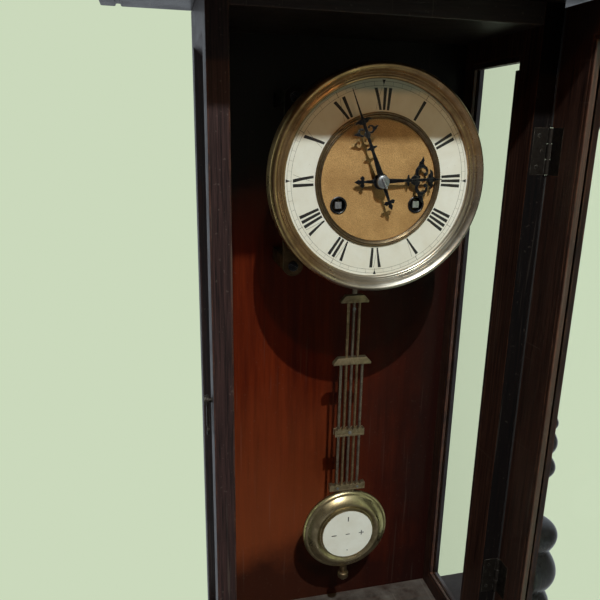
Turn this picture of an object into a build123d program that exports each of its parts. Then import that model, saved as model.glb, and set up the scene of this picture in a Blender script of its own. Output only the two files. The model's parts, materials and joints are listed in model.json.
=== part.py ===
from build123d import *
import math
import os

# A pendulum wall clock: a glazed wooden case with a side-hung door, a spring-driven
# striking movement behind a round dial, and a gridiron pendulum.
# Millimetres, +Z up, the front faces -Y, and the origin is the hole of the hanger
# plate on the wall plane.

# Sides of small rounds, turned wood and the bob
round_sides = 12
turned_sides = 16
bob_sides = 48

# Case
case_w = 266.0
case_d = 125.0
side_t = 16.0
back_t = 10.0
top_t = 16.0
bottom_t = 10.0
inner_h = 583.0
hanger_drop = 36.0
window_front = 32.0
window_back = 27.0
window_top = 39.0
window_bottom = 31.0
window_bevel = 9.0
rebate_w = 5.0
rebate_t = 5.0
pane_t = 2.0
pane_gap = 0.3
bead_notch = 6.0

# Cornice, crest and base
cornice_over = 72.0
cornice_front = 60.0
cornice_t = 20.0
cornice_round = 9.0
drip_inset = 12.0
drip_w = 4.0
drip_t = 2.0
plinth_inset = 24.0
plinth_t = 18.0
plinth_bevel = 5.0
crest_w = 300.0
crest_h = 112.0
crest_t = 18.0
crest_set = 56.0
finial_inset = 22.0
base_over = 62.0
base_front = 55.0
base_t = 22.0
base_round = 10.0
console_w = 236.0
console_h = 82.0
console_d = 96.0
console_foot = 58.0

# Wall hanger
hanger_w = 34.0
hanger_h = 62.0
hanger_t = 2.5
hanger_r = 6.5
hanger_slot = 5.0
hanger_rise = 18.0
pocket_r = 9.0

# Door
door_t = 12.0
door_gap = 0.5
stile_w = 38.0
door_rail_top = 27.0
door_rail_bottom = 34.0
door_top_gap = 3.0
door_bottom_gap = 3.0
door_rebate_w = 4.0
door_rebate_t = 7.0
door_open = 90.0
column_lift = 6.5
column_foot_gap = 20.0
knuckle_r = 2.5
knuckle_out = 0.75
knuckle_clear = 0.3
leaf_t = 1.5
leaf_w = 14.0
leaf_h = 36.0
leaf_inset = 104.0
leaf_gap = 0.15
pin_r = 1.2
pin_fit = 0.05
knuckle_gap = 0.2
latch_drop = 304.0
latch_set = 19.0
latch_t = 2.0
latch_stud_r = 2.0
latch_fit = 0.4

# Dial
dial_drop = 115.0
dial_gap = 97.0
bezel_r = 87.0
bezel_sight_r = 75.0
bezel_front = 8.0
bezel_skirt = 10.0
dial_r = 84.0
dial_t = 3.0
dial_gap_r = 0.3
dial_hole_gap = 0.6
ring_inner_r = 50.0
disc_drop = 0.4
bead_ring_r = 49.0
bead_ring_w = 5.0
bead_ring_h = 1.8
wind_x = 32.2
wind_z = -18.5
wind_hole_r = 6.2
grommet_wall = 0.9
grommet_rise = 1.0
dial_foot_x = 50.0
dial_foot_z = 34.0
dial_foot_r = 3.0

# Movement
front_gap = 6.0
plate_t = 2.5
plate_space = 24.5
plate_w = 120.0
plate_h = 112.0
pillar_r = 3.5
pillar_x = 55.0
pillar_z = 51.0
pivot_r = 1.0
pivot_fit = 0.05
arbor_r = 1.5
tooth_tip = 0.8
tooth_root = 1.3
great_teeth = 54
centre_pinion_teeth = 6
centre_teeth = 48
third_pinion_teeth = 6
third_teeth = 60
escape_pinion_teeth = 6
escape_teeth = 36
centre_module = 0.74
third_module = 0.5
escape_r = 13.0
escape_z = 24.6
wheel_t = 1.5
great_t = 2.0
drum_r = 21.0
drum_l = 12.0
wind_arbor_r = 3.0
wind_square = 5.2
cannon_teeth = 10
minute_teeth = 30
minute_pinion_teeth = 8
hour_teeth = 32
motion_distance = 18.0
motion_t = 1.4
cannon_r = 2.4
cannon_fit = 0.06
hour_pipe_wall = 1.2
strap_x = 58.5
strap_w = 17.0
strap_t = 4.0
strap_low = 74.0
strap_high = 62.0
post_r = 6.0
gong_z = -54.0
gong_step = 12.0
gong_halves = 5
gong_wire_w = 2.4
gong_wire_t = 3.2
gong_back = 12.0
gong_post_r = 6.5
hammer_x = -47.5
hammer_z = -6.0
hammer_drop = 48.0
hammer_r = 5.0
hammer_half = 3.0

# Hands
minute_l = 72.0
hour_l = 51.0
tail_l = 21.0
hand_t = 0.8
hour_hand_d = 4.0
hand_gap = 3.2
hand_hub_r = 5.5
minute_turn = 338.0
hour_turn = 88.17
nut_r = 5.0
nut_h = 3.6

# Pendulum
swing_plane = 46.0
pivot_z = 43.0
crutch_gap = 1.4
crutch_t = 1.2
crutch_play = 0.4
fork_over = 3.0
rod_r = 1.3
rod_fit = 0.05
rod_pitch = 5.1
bar_t = 6.0
bar_z = (-107.0, -166.0, -238.0, -297.0)
bar_w = (26.0, 36.0, 28.0, 35.5)
bar_h = 8.0
bar_flare = 4.5
notch_w = 2.2
spring_w = 6.0
spring_t = 0.4
spring_slot = 0.5
spring_low = 18.0
hanger_rod_w = 4.0
bob_z = -345.0
bob_r = 43.0
bob_t = 20.0
bob_edge = 1.0
bob_disc_r = 25.5
bob_disc_t = 1.2
bob_rod_r = 2.0
nut_z = -399.0
rating_r = 5.5
rating_h = 6.0
rating_seat = 0.2

# Places worked out from the sizes
half = case_w / 2
inner_half = half - side_t
case_top = hanger_drop
ceiling = case_top - top_t
floor_z = ceiling - inner_h
case_bottom = floor_z - bottom_t
dial_z = ceiling - dial_drop
dial_y = -(back_t + dial_gap)
dial_plane = Plane(origin=(0, dial_y, dial_z), x_dir=(1, 0, 0), z_dir=(0, -1, 0))
hinge_x = half + knuckle_out
hinge_y = -(case_d + door_gap / 2)
turn = math.radians(door_open)
door_plane = Plane(
    origin=(hinge_x, hinge_y, 0),
    x_dir=(math.cos(turn), math.sin(turn), 0),
    z_dir=(math.sin(turn), -math.cos(turn), 0),
)
door_right = -knuckle_out
door_left = door_right - case_w
door_top = case_top - door_top_gap
door_bottom = case_bottom + door_bottom_gap
door_in = door_gap / 2
door_out = door_in + door_t
hinge_heights = (case_top - door_top_gap - leaf_inset, case_bottom + door_bottom_gap + leaf_inset)
latch_z = case_top - latch_drop
latch_y = -case_d + latch_set
front_plate_d = -(dial_t + front_gap)
back_plate_d = front_plate_d - plate_t - plate_space
plates_rear = back_plate_d - plate_t

os.makedirs("parts", exist_ok=True)


# Small rounds that repeat have few sides: pins lie inside their radius, holes outside it
def pin_round(radius):
    RegularPolygon(radius, round_sides)


def hole_round(radius):
    RegularPolygon(radius, round_sides, major_radius=False, mode=Mode.SUBTRACT)


# Outline of a toothed wheel: pointed straight-flanked teeth, the first one on the angle given
def tooth_points(teeth, pitch_r, first=0.0):
    depth = 2 * pitch_r / teeth
    points = []
    for index in range(2 * teeth):
        radius = pitch_r - tooth_root * depth if index % 2 else pitch_r + tooth_tip * depth
        angle = math.radians(first + 180 / teeth * index)
        points.append((radius * math.cos(angle), radius * math.sin(angle)))
    return points


# A swell out of a groove and back, as a few equal rings of a turning
def swell(radius, edge, rise, parts):
    rings = []
    for index in range(1, parts + 1):
        rings.append((edge + (radius - edge) * math.sin(math.pi * index / parts), rise / parts))
    return rings


# A many-sided turning on a plane, with flat facets between rings of (radius, rise from the last)
def turned(seat, rings, sides):
    corners = []
    height = 0.0
    for radius, rise in rings:
        height += rise
        ring = []
        for index in range(sides):
            angle = 2 * math.pi * (index + 0.5) / sides
            ring.append(seat.from_local_coords((radius * math.cos(angle), radius * math.sin(angle), height)))
        corners.append(ring)
    faces = [Face(Wire.make_polygon(corners[0])), Face(Wire.make_polygon(corners[-1]))]
    for low, high in zip(corners, corners[1:]):
        for index in range(sides):
            beside = (index + 1) % sides
            faces.append(Face(Wire.make_polygon([low[index], low[beside], high[beside], high[index]])))
    return Solid(Shell(faces))


# Back, top and bottom boards
with BuildPart() as back_board:
    with BuildSketch(Plane.XZ):
        with Locations((0, (case_top + case_bottom) / 2)):
            Rectangle(2 * inner_half, case_top - case_bottom)
    extrude(amount=back_t)
    with BuildSketch(Plane.XZ):
        with Locations((0, 0)):
            Rectangle(hanger_w, hanger_h)
    extrude(amount=hanger_t, mode=Mode.SUBTRACT)
    with BuildSketch(Plane.XZ.offset(hanger_t)):
        with Locations((0, hanger_rise / 2)):
            SlotOverall(hanger_rise + 2 * pocket_r, 2 * pocket_r, rotation=90)
    extrude(amount=back_t / 2, mode=Mode.SUBTRACT)
back_board.part.label = "back_board"
export_step(back_board.part, "parts/back_board.step")

with BuildPart() as top_board:
    with BuildSketch(Plane.XY.offset(ceiling)):
        with Locations((0, -(case_d + back_t) / 2)):
            Rectangle(2 * inner_half, case_d - back_t)
    extrude(amount=top_t)
top_board.part.label = "top_board"
export_step(top_board.part, "parts/top_board.step")

with BuildPart() as bottom_board:
    with BuildSketch(Plane.XY.offset(case_bottom)):
        with Locations((0, -(case_d + back_t) / 2)):
            Rectangle(2 * inner_half, case_d - back_t)
    extrude(amount=bottom_t)
bottom_board.part.label = "bottom_board"
export_step(bottom_board.part, "parts/bottom_board.step")

# Side frames with a bevelled window outside and a glass rebate inside
window_w = case_d - window_front - window_back
window_h = case_top - case_bottom - window_top - window_bottom
window_y = -(window_back + window_w / 2)
window_z = case_bottom + window_bottom + window_h / 2
for side, name in ((1, "right"), (-1, "left")):
    inner_plane = Plane(origin=(side * inner_half, 0, 0), x_dir=(0, side, 0), z_dir=(side, 0, 0))
    with BuildPart() as side_frame:
        with BuildSketch(inner_plane):
            with Locations((-side * case_d / 2, (case_top + case_bottom) / 2)):
                Rectangle(case_d, case_top - case_bottom)
        extrude(amount=side_t)
        with BuildSketch(inner_plane):
            with Locations((side * window_y, window_z)):
                Rectangle(window_w, window_h)
        extrude(amount=side_t, mode=Mode.SUBTRACT)
        outer_face = side_frame.faces().sort_by(Axis.X)[-1 if side > 0 else 0]
        chamfer(outer_face.inner_wires().edges(), length=window_bevel)
        with BuildSketch(inner_plane):
            with Locations((side * window_y, window_z)):
                Rectangle(window_w + 2 * rebate_w, window_h + 2 * rebate_w)
        extrude(amount=rebate_t, mode=Mode.SUBTRACT)
        if side > 0:
            with BuildSketch(Plane.XZ.offset(case_d)):
                for height in hinge_heights:
                    with Locations((half - leaf_w / 2, height)):
                        Rectangle(leaf_w, leaf_h)
            extrude(amount=-(leaf_t - door_gap / 2 + leaf_gap), mode=Mode.SUBTRACT)
            for height in hinge_heights:
                with BuildSketch(Plane.XY.offset(height - leaf_h / 2)):
                    with Locations((hinge_x, hinge_y)):
                        RegularPolygon(knuckle_r + knuckle_clear, round_sides, major_radius=False)
                extrude(amount=leaf_h, mode=Mode.SUBTRACT)
    side_frame.part.label = name + "_side_frame"
    export_step(side_frame.part, "parts/" + name + "_side_frame.step")

# Side panes against the rebate shoulders, and the beads that hold them
pane_w = window_w + 2 * rebate_w - 2 * pane_gap
pane_h = window_h + 2 * rebate_w - 2 * pane_gap
with BuildPart() as side_glass:
    for side in (1, -1):
        pane_plane = Plane.YZ.offset(side * (inner_half + rebate_t))
        with BuildSketch(pane_plane):
            with Locations((window_y, window_z)):
                Rectangle(pane_w, pane_h)
        extrude(amount=-side * pane_t)
side_glass.part.label = "side_glass"
export_step(side_glass.part, "parts/side_glass.step")

bead_t = rebate_t - pane_t
with BuildPart() as side_glass_beads:
    for side in (1, -1):
        with BuildSketch(Plane.YZ.offset(side * inner_half)):
            low = window_z - window_h / 2
            high = window_z + window_h / 2
            with Locations((window_y + (window_w + rebate_w) / 2, window_z)):
                Rectangle(rebate_w - pane_gap, window_h)
            with Locations((window_y - (window_w + rebate_w) / 2, window_z - bead_notch / 2)):
                Rectangle(rebate_w - pane_gap, window_h - bead_notch)
            with Locations((window_y, low - rebate_w / 2), (window_y, high + rebate_w / 2)):
                Rectangle(window_w + 2 * rebate_w - 2 * pane_gap, rebate_w - pane_gap)
        extrude(amount=side * bead_t)
side_glass_beads.part.label = "side_glass_beads"
export_step(side_glass_beads.part, "parts/side_glass_beads.step")

# Cornice: an overhanging board with a rounded edge and drip groove, and a plinth on it
cornice_w = case_w + 2 * cornice_over
cornice_d = case_d + cornice_front
cornice_top = case_top + cornice_t
plinth_top = cornice_top + plinth_t
with BuildPart() as cornice:
    with BuildSketch(Plane.XY.offset(case_top)):
        with Locations((0, -cornice_d / 2)):
            Rectangle(cornice_w, cornice_d)
    extrude(amount=cornice_t)
    upper = cornice.edges().group_by(Axis.Z)[-1].sort_by(Axis.Y)[:-1]
    fillet(upper, radius=cornice_round)
    with BuildSketch(Plane.XY.offset(cornice_top)):
        with Locations((0, -(cornice_d - plinth_inset) / 2)):
            Rectangle(cornice_w - 2 * plinth_inset, cornice_d - plinth_inset)
    extrude(amount=plinth_t)
    crown = cornice.edges().group_by(Axis.Z)[-1].sort_by(Axis.Y)[:-1]
    chamfer(crown, length=plinth_bevel)
    with BuildSketch(Plane.XY.offset(case_top)):
        with Locations((0, -(cornice_d - drip_inset) / 2)):
            Rectangle(cornice_w - 2 * drip_inset, cornice_d - drip_inset)
        with Locations((0, -(cornice_d - drip_inset - drip_w) / 2)):
            Rectangle(
                cornice_w - 2 * drip_inset - 2 * drip_w,
                cornice_d - drip_inset - drip_w,
                mode=Mode.SUBTRACT,
            )
    extrude(amount=drip_t, mode=Mode.SUBTRACT)
cornice.part.label = "cornice"
export_step(cornice.part, "parts/cornice.step")

# Crest board: a round arch between two hollow shoulders
crest_foot = crest_h * 0.22
crest_neck = crest_h * 0.5
arch_r = crest_w * 0.22
arch_rise = crest_h - crest_neck
arch_round = (arch_r**2 + arch_rise**2) / (2 * arch_rise)
arch_centre = plinth_top + crest_h - arch_round
arch_start = math.degrees(math.atan2(arch_round - arch_rise, arch_r))
with BuildPart() as crest_board:
    with BuildSketch(Plane.XZ.offset(cornice_d - plinth_inset - crest_set)):
        with BuildLine():
            Line((0, plinth_top), (crest_w / 2, plinth_top))
            Line((crest_w / 2, plinth_top), (crest_w / 2, plinth_top + crest_foot))
            ThreePointArc(
                (crest_w / 2, plinth_top + crest_foot),
                (crest_w * 0.36, plinth_top + crest_foot * 1.25),
                (arch_r + crest_w * 0.04, plinth_top + crest_neck),
            )
            Line((arch_r + crest_w * 0.04, plinth_top + crest_neck), (arch_r, plinth_top + crest_neck))
            CenterArc((0, arch_centre), arch_round, arch_start, 90 - arch_start)
            Line((0, plinth_top + crest_h), (0, plinth_top))
        make_face()
        mirror(about=Plane.YZ)
    extrude(amount=crest_t)
crest_board.part.label = "crest_board"
export_step(crest_board.part, "parts/crest_board.step")

# Base board with a rounded upper edge, the console below it and turned drops
base_w = case_w + 2 * base_over
base_d = case_d + base_front
base_bottom = case_bottom - base_t
with BuildPart() as base_moulding:
    with BuildSketch(Plane.XY.offset(base_bottom)):
        with Locations((0, -base_d / 2)):
            Rectangle(base_w, base_d)
    extrude(amount=base_t)
    upper = base_moulding.edges().group_by(Axis.Z)[-1].sort_by(Axis.Y)[:-1]
    fillet(upper, radius=base_round)
base_moulding.part.label = "base_moulding"
export_step(base_moulding.part, "parts/base_moulding.step")

console_bottom = base_bottom - console_h
with BuildPart() as base_console:
    with BuildSketch(Plane.XZ):
        with BuildLine():
            Line((0, base_bottom), (console_w / 2, base_bottom))
            Line((console_w / 2, base_bottom), (console_w / 2, base_bottom - console_h * 0.18))
            ThreePointArc(
                (console_w / 2, base_bottom - console_h * 0.18),
                (console_w * 0.36, base_bottom - console_h * 0.36),
                (console_w * 0.28, base_bottom - console_h * 0.62),
            )
            ThreePointArc(
                (console_w * 0.28, base_bottom - console_h * 0.62),
                (console_w * 0.22, base_bottom - console_h * 0.88),
                (console_foot / 2, console_bottom),
            )
            Line((console_foot / 2, console_bottom), (0, console_bottom))
            Line((0, console_bottom), (0, base_bottom))
        make_face()
        mirror(about=Plane.YZ)
    extrude(amount=console_d)
base_console.part.label = "base_console"
export_step(base_console.part, "parts/base_console.step")

# Turned finials: two on the plinth corners, one on the arch, and a drop under the console
finial_x = cornice_w / 2 - plinth_inset - finial_inset
finial_y = -(cornice_d - plinth_inset - finial_inset)
crest_y = -(cornice_d - plinth_inset - crest_set + crest_t / 2)
urn_rings = (
    (10, 0),
    (6, 9),
    (7, 1),
    *swell(15, 7, 24, 4),
    (5, 1),
    (1.8, 20),
)
drop_rings = (
    (1.6, 0),
    (6, 10),
    *swell(14, 6, 26, 4),
    (11, 6),
    (11, 5),
)
drop_rise = sum(ring[1] for ring in drop_rings)
with BuildPart() as turned_finials:
    for place, rings in (
        ((-finial_x, finial_y, plinth_top), urn_rings),
        ((finial_x, finial_y, plinth_top), urn_rings),
        ((0, crest_y, plinth_top + crest_h), urn_rings),
        ((0, -console_d / 2, console_bottom - drop_rise), drop_rings),
    ):
        add(turned(Plane(origin=place), rings, turned_sides))
turned_finials.part.label = "turned_finials"
export_step(turned_finials.part, "parts/turned_finials.step")

# Hanger plate let into the back: a round hole with a narrow slot above it
with BuildPart() as hanger_plate:
    with BuildSketch(Plane.XZ):
        Rectangle(hanger_w, hanger_h)
        Circle(hanger_r, mode=Mode.SUBTRACT)
        with Locations((0, hanger_rise / 2)):
            Rectangle(hanger_slot, hanger_rise, mode=Mode.SUBTRACT)
        with Locations((0, hanger_rise)):
            Circle(hanger_slot / 2, mode=Mode.SUBTRACT)
    extrude(amount=hanger_t)
hanger_plate.part.label = "hanger_plate"
export_step(hanger_plate.part, "parts/hanger_plate.step")

# Door hinges: fixed leaves with end knuckles and pins, and door leaves with the middle knuckle
knuckle_l = leaf_h / 3
with BuildPart() as case_hinges:
    for height in hinge_heights:
        with BuildSketch(Plane.XZ.offset(case_d + door_gap / 2 - leaf_gap)):
            with Locations((half - leaf_w / 2, height)):
                Rectangle(leaf_w, leaf_h)
            for end in (1, -1):
                with Locations((half + knuckle_out / 2, height + end * knuckle_l)):
                    Rectangle(knuckle_out, knuckle_l - knuckle_gap)
        extrude(amount=-leaf_t)
        with BuildSketch(Plane.XY.offset(height - (knuckle_l + knuckle_gap) / 2)):
            with Locations((hinge_x, hinge_y)):
                RegularPolygon(knuckle_r + knuckle_clear, round_sides, major_radius=False)
        extrude(amount=knuckle_l + knuckle_gap, mode=Mode.SUBTRACT)
        for end in (1, -1):
            with BuildSketch(Plane.XY.offset(height + end * knuckle_l - (knuckle_l - knuckle_gap) / 2)):
                with Locations((hinge_x, hinge_y)):
                    pin_round(knuckle_r)
            extrude(amount=knuckle_l - knuckle_gap)
        with BuildSketch(Plane.XY.offset(height - leaf_h / 2 + knuckle_gap)):
            with Locations((hinge_x, hinge_y)):
                Circle(pin_r)
        extrude(amount=leaf_h - 2 * knuckle_gap)
case_hinges.part.label = "case_hinges"
export_step(case_hinges.part, "parts/case_hinges.step")

with BuildPart() as door_hinges:
    for height in hinge_heights:
        with BuildSketch(door_plane.offset(leaf_gap)):
            with Locations((door_right - leaf_w / 2, height)):
                Rectangle(leaf_w, leaf_h)
            with Locations((door_right / 2, height)):
                Rectangle(knuckle_out, knuckle_l - knuckle_gap)
        extrude(amount=leaf_t)
        for end in (1, -1):
            with BuildSketch(Plane.XY.offset(height + end * knuckle_l - (knuckle_l + knuckle_gap) / 2)):
                with Locations((hinge_x, hinge_y)):
                    RegularPolygon(knuckle_r + knuckle_clear, round_sides, major_radius=False)
            extrude(amount=knuckle_l + knuckle_gap, mode=Mode.SUBTRACT)
        with BuildSketch(Plane.XY.offset(height - (knuckle_l - knuckle_gap) / 2)):
            with Locations((hinge_x, hinge_y)):
                pin_round(knuckle_r)
        extrude(amount=knuckle_l - knuckle_gap)
        with BuildSketch(Plane.XY.offset(height)):
            with Locations((hinge_x, hinge_y)):
                RegularPolygon(pin_r + pin_fit, round_sides, major_radius=False)
        extrude(amount=knuckle_l, both=True, mode=Mode.SUBTRACT)
door_hinges.part.label = "door_hinges"
export_step(door_hinges.part, "parts/door_hinges.step")

# Door frame: stiles run full height, rails stand between them, all rebated for the glass
sight_low = door_bottom + door_rail_bottom
sight_high = door_top - door_rail_top
sight_z = (sight_low + sight_high) / 2
sight_h = sight_high - sight_low
door_mid = (door_left + door_right) / 2
rail_l = case_w - 2 * stile_w
with BuildPart() as door_stiles:
    for end in (1, -1):
        with BuildSketch(door_plane.offset(door_in)):
            with Locations((door_mid + end * (case_w - stile_w) / 2, (door_top + door_bottom) / 2)):
                Rectangle(stile_w, door_top - door_bottom)
        extrude(amount=door_t)
    with BuildSketch(door_plane.offset(door_in)):
        with Locations((door_mid, sight_z)):
            Rectangle(rail_l + 2 * door_rebate_w, sight_h + 2 * door_rebate_w)
    extrude(amount=door_rebate_t, mode=Mode.SUBTRACT)
    with BuildSketch(door_plane.offset(door_in)):
        for height in hinge_heights:
            with Locations((door_right - leaf_w / 2, height)):
                Rectangle(leaf_w, leaf_h)
    extrude(amount=leaf_t + leaf_gap - door_in, mode=Mode.SUBTRACT)
    for height in hinge_heights:
        with BuildSketch(Plane.XY.offset(height - leaf_h / 2)):
            with Locations((hinge_x, hinge_y)):
                RegularPolygon(knuckle_r + knuckle_clear, round_sides, major_radius=False)
        extrude(amount=leaf_h, mode=Mode.SUBTRACT)
door_stiles.part.label = "door_stiles"
export_step(door_stiles.part, "parts/door_stiles.step")

with BuildPart() as door_rails:
    with BuildSketch(door_plane.offset(door_in)):
        with Locations((door_mid, door_top - door_rail_top / 2)):
            Rectangle(rail_l, door_rail_top)
        with Locations((door_mid, door_bottom + door_rail_bottom / 2)):
            Rectangle(rail_l, door_rail_bottom)
    extrude(amount=door_t)
    with BuildSketch(door_plane.offset(door_in)):
        with Locations((door_mid, sight_z)):
            Rectangle(rail_l + 2 * door_rebate_w, sight_h + 2 * door_rebate_w)
    extrude(amount=door_rebate_t, mode=Mode.SUBTRACT)
door_rails.part.label = "door_rails"
export_step(door_rails.part, "parts/door_rails.step")

door_pane_w = rail_l + 2 * door_rebate_w - 2 * pane_gap
door_pane_h = sight_h + 2 * door_rebate_w - 2 * pane_gap
with BuildPart() as door_glass:
    with BuildSketch(door_plane.offset(door_in + door_rebate_t)):
        with Locations((door_mid, sight_z)):
            Rectangle(door_pane_w, door_pane_h)
    extrude(amount=-pane_t)
door_glass.part.label = "door_glass"
export_step(door_glass.part, "parts/door_glass.step")

with BuildPart() as door_beads:
    with BuildSketch(door_plane.offset(door_in)):
        for end in (1, -1):
            with Locations((door_mid + end * (rail_l + door_rebate_w) / 2, sight_z)):
                Rectangle(door_rebate_w - pane_gap, sight_h)
            with Locations((door_mid, sight_z + end * (sight_h + door_rebate_w) / 2)):
                Rectangle(door_pane_w, door_rebate_w - pane_gap)
    extrude(amount=door_rebate_t - pane_t)
door_beads.part.label = "door_beads"
export_step(door_beads.part, "parts/door_beads.step")

# Split turned columns on the outer face of the door stiles
bun = swell(22, 14, 33.6, 4)
column_rings = (
    (17, 0),
    (17, 14),
    (9, 1),
    *swell(15, 9, 28, 2),
    (7.5, 1),
    (9, 27),
    (14, 1),
    *bun,
    *bun,
    *bun,
    (5, 10),
    (5, 28),
    *swell(11, 5, 23, 2),
    *swell(10, 5, 24, 2),
    *swell(8.5, 5, 14, 2),
    (4.5, 220),
    *swell(8.5, 5, 20, 2),
    *swell(12, 5.5, 18, 2),
    (11, 10),
    (15, 1),
    (15, 11),
)
column_bottom = door_bottom + column_foot_gap
with BuildPart() as door_columns:
    for along in (door_right - stile_w / 2, door_left + stile_w / 2):
        foot = door_plane.from_local_coords((along, column_bottom, door_out + column_lift))
        add(turned(Plane(origin=foot), column_rings, turned_sides))
    with BuildSketch(door_plane.offset(door_out)):
        with Locations((door_mid, (door_top + door_bottom) / 2)):
            Rectangle(2 * case_w, door_top - door_bottom)
    extrude(amount=-2 * stile_w, mode=Mode.SUBTRACT)
door_columns.part.label = "door_columns"
export_step(door_columns.part, "parts/door_columns.step")

# Latch: a stud in the edge of the door, and a hook that turns on a screw in the case side
stud_plane = Plane(
    origin=door_plane.from_local_coords((door_left, latch_z, door_in + door_t / 2)),
    x_dir=door_plane.z_dir,
    z_dir=-door_plane.x_dir,
)
latch_plane = Plane(origin=(-half, latch_y, latch_z), x_dir=(0, -1, 0), z_dir=(-1, 0, 0))
latch_reach = latch_set + door_gap + door_t / 2
for name, seat, shank in (
    ("stud", stud_plane, 3 * latch_t),
    ("screw", latch_plane, 2 * latch_t + latch_fit),
):
    with BuildPart() as latch_piece:
        with BuildSketch(seat):
            Circle(latch_stud_r)
        extrude(amount=shank)
        with BuildSketch(seat.offset(shank)):
            pin_round(2 * latch_stud_r)
        extrude(amount=latch_t / 2)
    latch_piece.part.label = "latch_" + name
    export_step(latch_piece.part, "parts/latch_" + name + ".step")

hook_plane = Plane(
    origin=latch_plane.from_local_coords((0, 0, latch_t + latch_fit / 2)),
    x_dir=(0, 0, -1),
    z_dir=latch_plane.z_dir,
)
with BuildPart() as latch_hook:
    with BuildSketch(hook_plane):
        pin_round(2.2 * latch_stud_r)
        with Locations((latch_reach / 2, 0)):
            Rectangle(latch_reach, 2.4 * latch_stud_r)
        with Locations((latch_reach, 0)):
            pin_round(2.4 * latch_stud_r)
            hole_round(latch_stud_r + latch_fit)
        hole_round(latch_stud_r + pin_fit)
        with Locations((latch_reach, -1.5 * latch_stud_r)):
            Rectangle(2 * latch_stud_r + 2 * latch_fit, 3 * latch_stud_r, mode=Mode.SUBTRACT)
    extrude(amount=latch_t)
latch_hook.part.label = "latch_hook"
export_step(latch_hook.part, "parts/latch_hook.step")

# Dial: chapter ring with feet, centre disc, bead ring, grommets and bezel
hour_pipe_r = cannon_r + cannon_fit + hour_pipe_wall
dial_hole_r = hour_pipe_r + dial_hole_gap
with BuildPart() as chapter_ring:
    with BuildSketch(dial_plane.offset(-dial_t)):
        Circle(dial_r)
        Circle(ring_inner_r, mode=Mode.SUBTRACT)
    extrude(amount=dial_t)
    with BuildSketch(dial_plane.offset(-dial_t)):
        with GridLocations(2 * dial_foot_x, 2 * dial_foot_z, 2, 2):
            RegularPolygon(dial_foot_r, 6)
    extrude(amount=-front_gap)
chapter_ring.part.label = "chapter_ring"
export_step(chapter_ring.part, "parts/chapter_ring.step")

with BuildPart() as centre_disc:
    with BuildSketch(dial_plane.offset(-dial_t)):
        Circle(ring_inner_r - pin_fit)
        hole_round(dial_hole_r)
        with Locations((wind_x, wind_z), (-wind_x, wind_z)):
            Circle(wind_hole_r, mode=Mode.SUBTRACT)
    extrude(amount=dial_t - disc_drop)
centre_disc.part.label = "centre_disc"
export_step(centre_disc.part, "parts/centre_disc.step")

section_plane = Plane(origin=dial_plane.origin, x_dir=(1, 0, 0), z_dir=(0, 0, 1))
dial_axis = Axis(dial_plane.origin, (0, -1, 0))
with BuildPart() as centre_ring:
    with BuildSketch(section_plane):
        Polygon(
            (bead_ring_r - bead_ring_w / 2, 0),
            (bead_ring_r - bead_ring_w / 5, -bead_ring_h),
            (bead_ring_r + bead_ring_w / 5, -bead_ring_h),
            (bead_ring_r + bead_ring_w / 2, 0),
            align=None,
        )
    revolve(axis=dial_axis)
centre_ring.part.label = "centre_ring"
export_step(centre_ring.part, "parts/centre_ring.step")

with BuildPart() as winding_grommets:
    with BuildSketch(dial_plane.offset(-dial_t)):
        with Locations((wind_x, wind_z), (-wind_x, wind_z)):
            Circle(wind_hole_r - pin_fit)
            Circle(wind_hole_r - grommet_wall, mode=Mode.SUBTRACT)
    extrude(amount=dial_t - disc_drop + grommet_rise)
winding_grommets.part.label = "winding_grommets"
export_step(winding_grommets.part, "parts/winding_grommets.step")

skirt_r = dial_r + dial_gap_r
with BuildPart() as bezel:
    with BuildSketch(section_plane):
        Polygon(
            (bezel_sight_r, 0),
            (bezel_sight_r, -0.25 * bezel_front),
            (bezel_sight_r + 2.5, -0.65 * bezel_front),
            (bezel_sight_r + 5.5, -bezel_front),
            (bezel_r - 2.5, -0.75 * bezel_front),
            (bezel_r, -0.3 * bezel_front),
            (bezel_r, bezel_skirt),
            (skirt_r, bezel_skirt),
            (skirt_r, 0),
            align=None,
        )
    revolve(axis=dial_axis)
bezel.part.label = "bezel"
export_step(bezel.part, "parts/bezel.step")

# Movement frame: two plates on four pillars
centre_pinion_r = math.hypot(wind_x, wind_z) * centre_pinion_teeth / (great_teeth + centre_pinion_teeth)
great_r = math.hypot(wind_x, wind_z) - centre_pinion_r
centre_r = centre_module * centre_teeth / 2
third_pinion_r = centre_module * third_pinion_teeth / 2
third_r = third_module * third_teeth / 2
escape_pinion_r = third_module * escape_pinion_teeth / 2
third_to_centre = centre_r + third_pinion_r
third_to_escape = third_r + escape_pinion_r
third_z = (third_to_centre**2 - third_to_escape**2 + escape_z**2) / (2 * escape_z)
third_x = -math.sqrt(third_to_centre**2 - third_z**2)
minute_x = 0.0
minute_z = -motion_distance
cannon_pitch_r = motion_distance * cannon_teeth / (cannon_teeth + minute_teeth)
minute_pitch_r = motion_distance - cannon_pitch_r
minute_pinion_r = motion_distance * minute_pinion_teeth / (minute_pinion_teeth + hour_teeth)
hour_pitch_r = motion_distance - minute_pinion_r
train_holes = ((0, 0), (third_x, third_z), (0, escape_z), (0, pivot_z))
barrel_holes = ((wind_x, wind_z), (-wind_x, wind_z))

with BuildPart() as front_plate:
    with BuildSketch(dial_plane.offset(front_plate_d)):
        Rectangle(plate_w, plate_h)
        with Locations(*train_holes[1:]):
            hole_round(pivot_r + pivot_fit)
        hole_round(arbor_r + pivot_fit)
        with Locations(*barrel_holes):
            hole_round(wind_arbor_r + pivot_fit)
    extrude(amount=-plate_t)
    with BuildSketch(dial_plane.offset(front_plate_d)):
        with Locations((minute_x, minute_z)):
            Circle(pivot_r)
    extrude(amount=front_gap - 1)
front_plate.part.label = "front_plate"
export_step(front_plate.part, "parts/front_plate.step")

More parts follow.
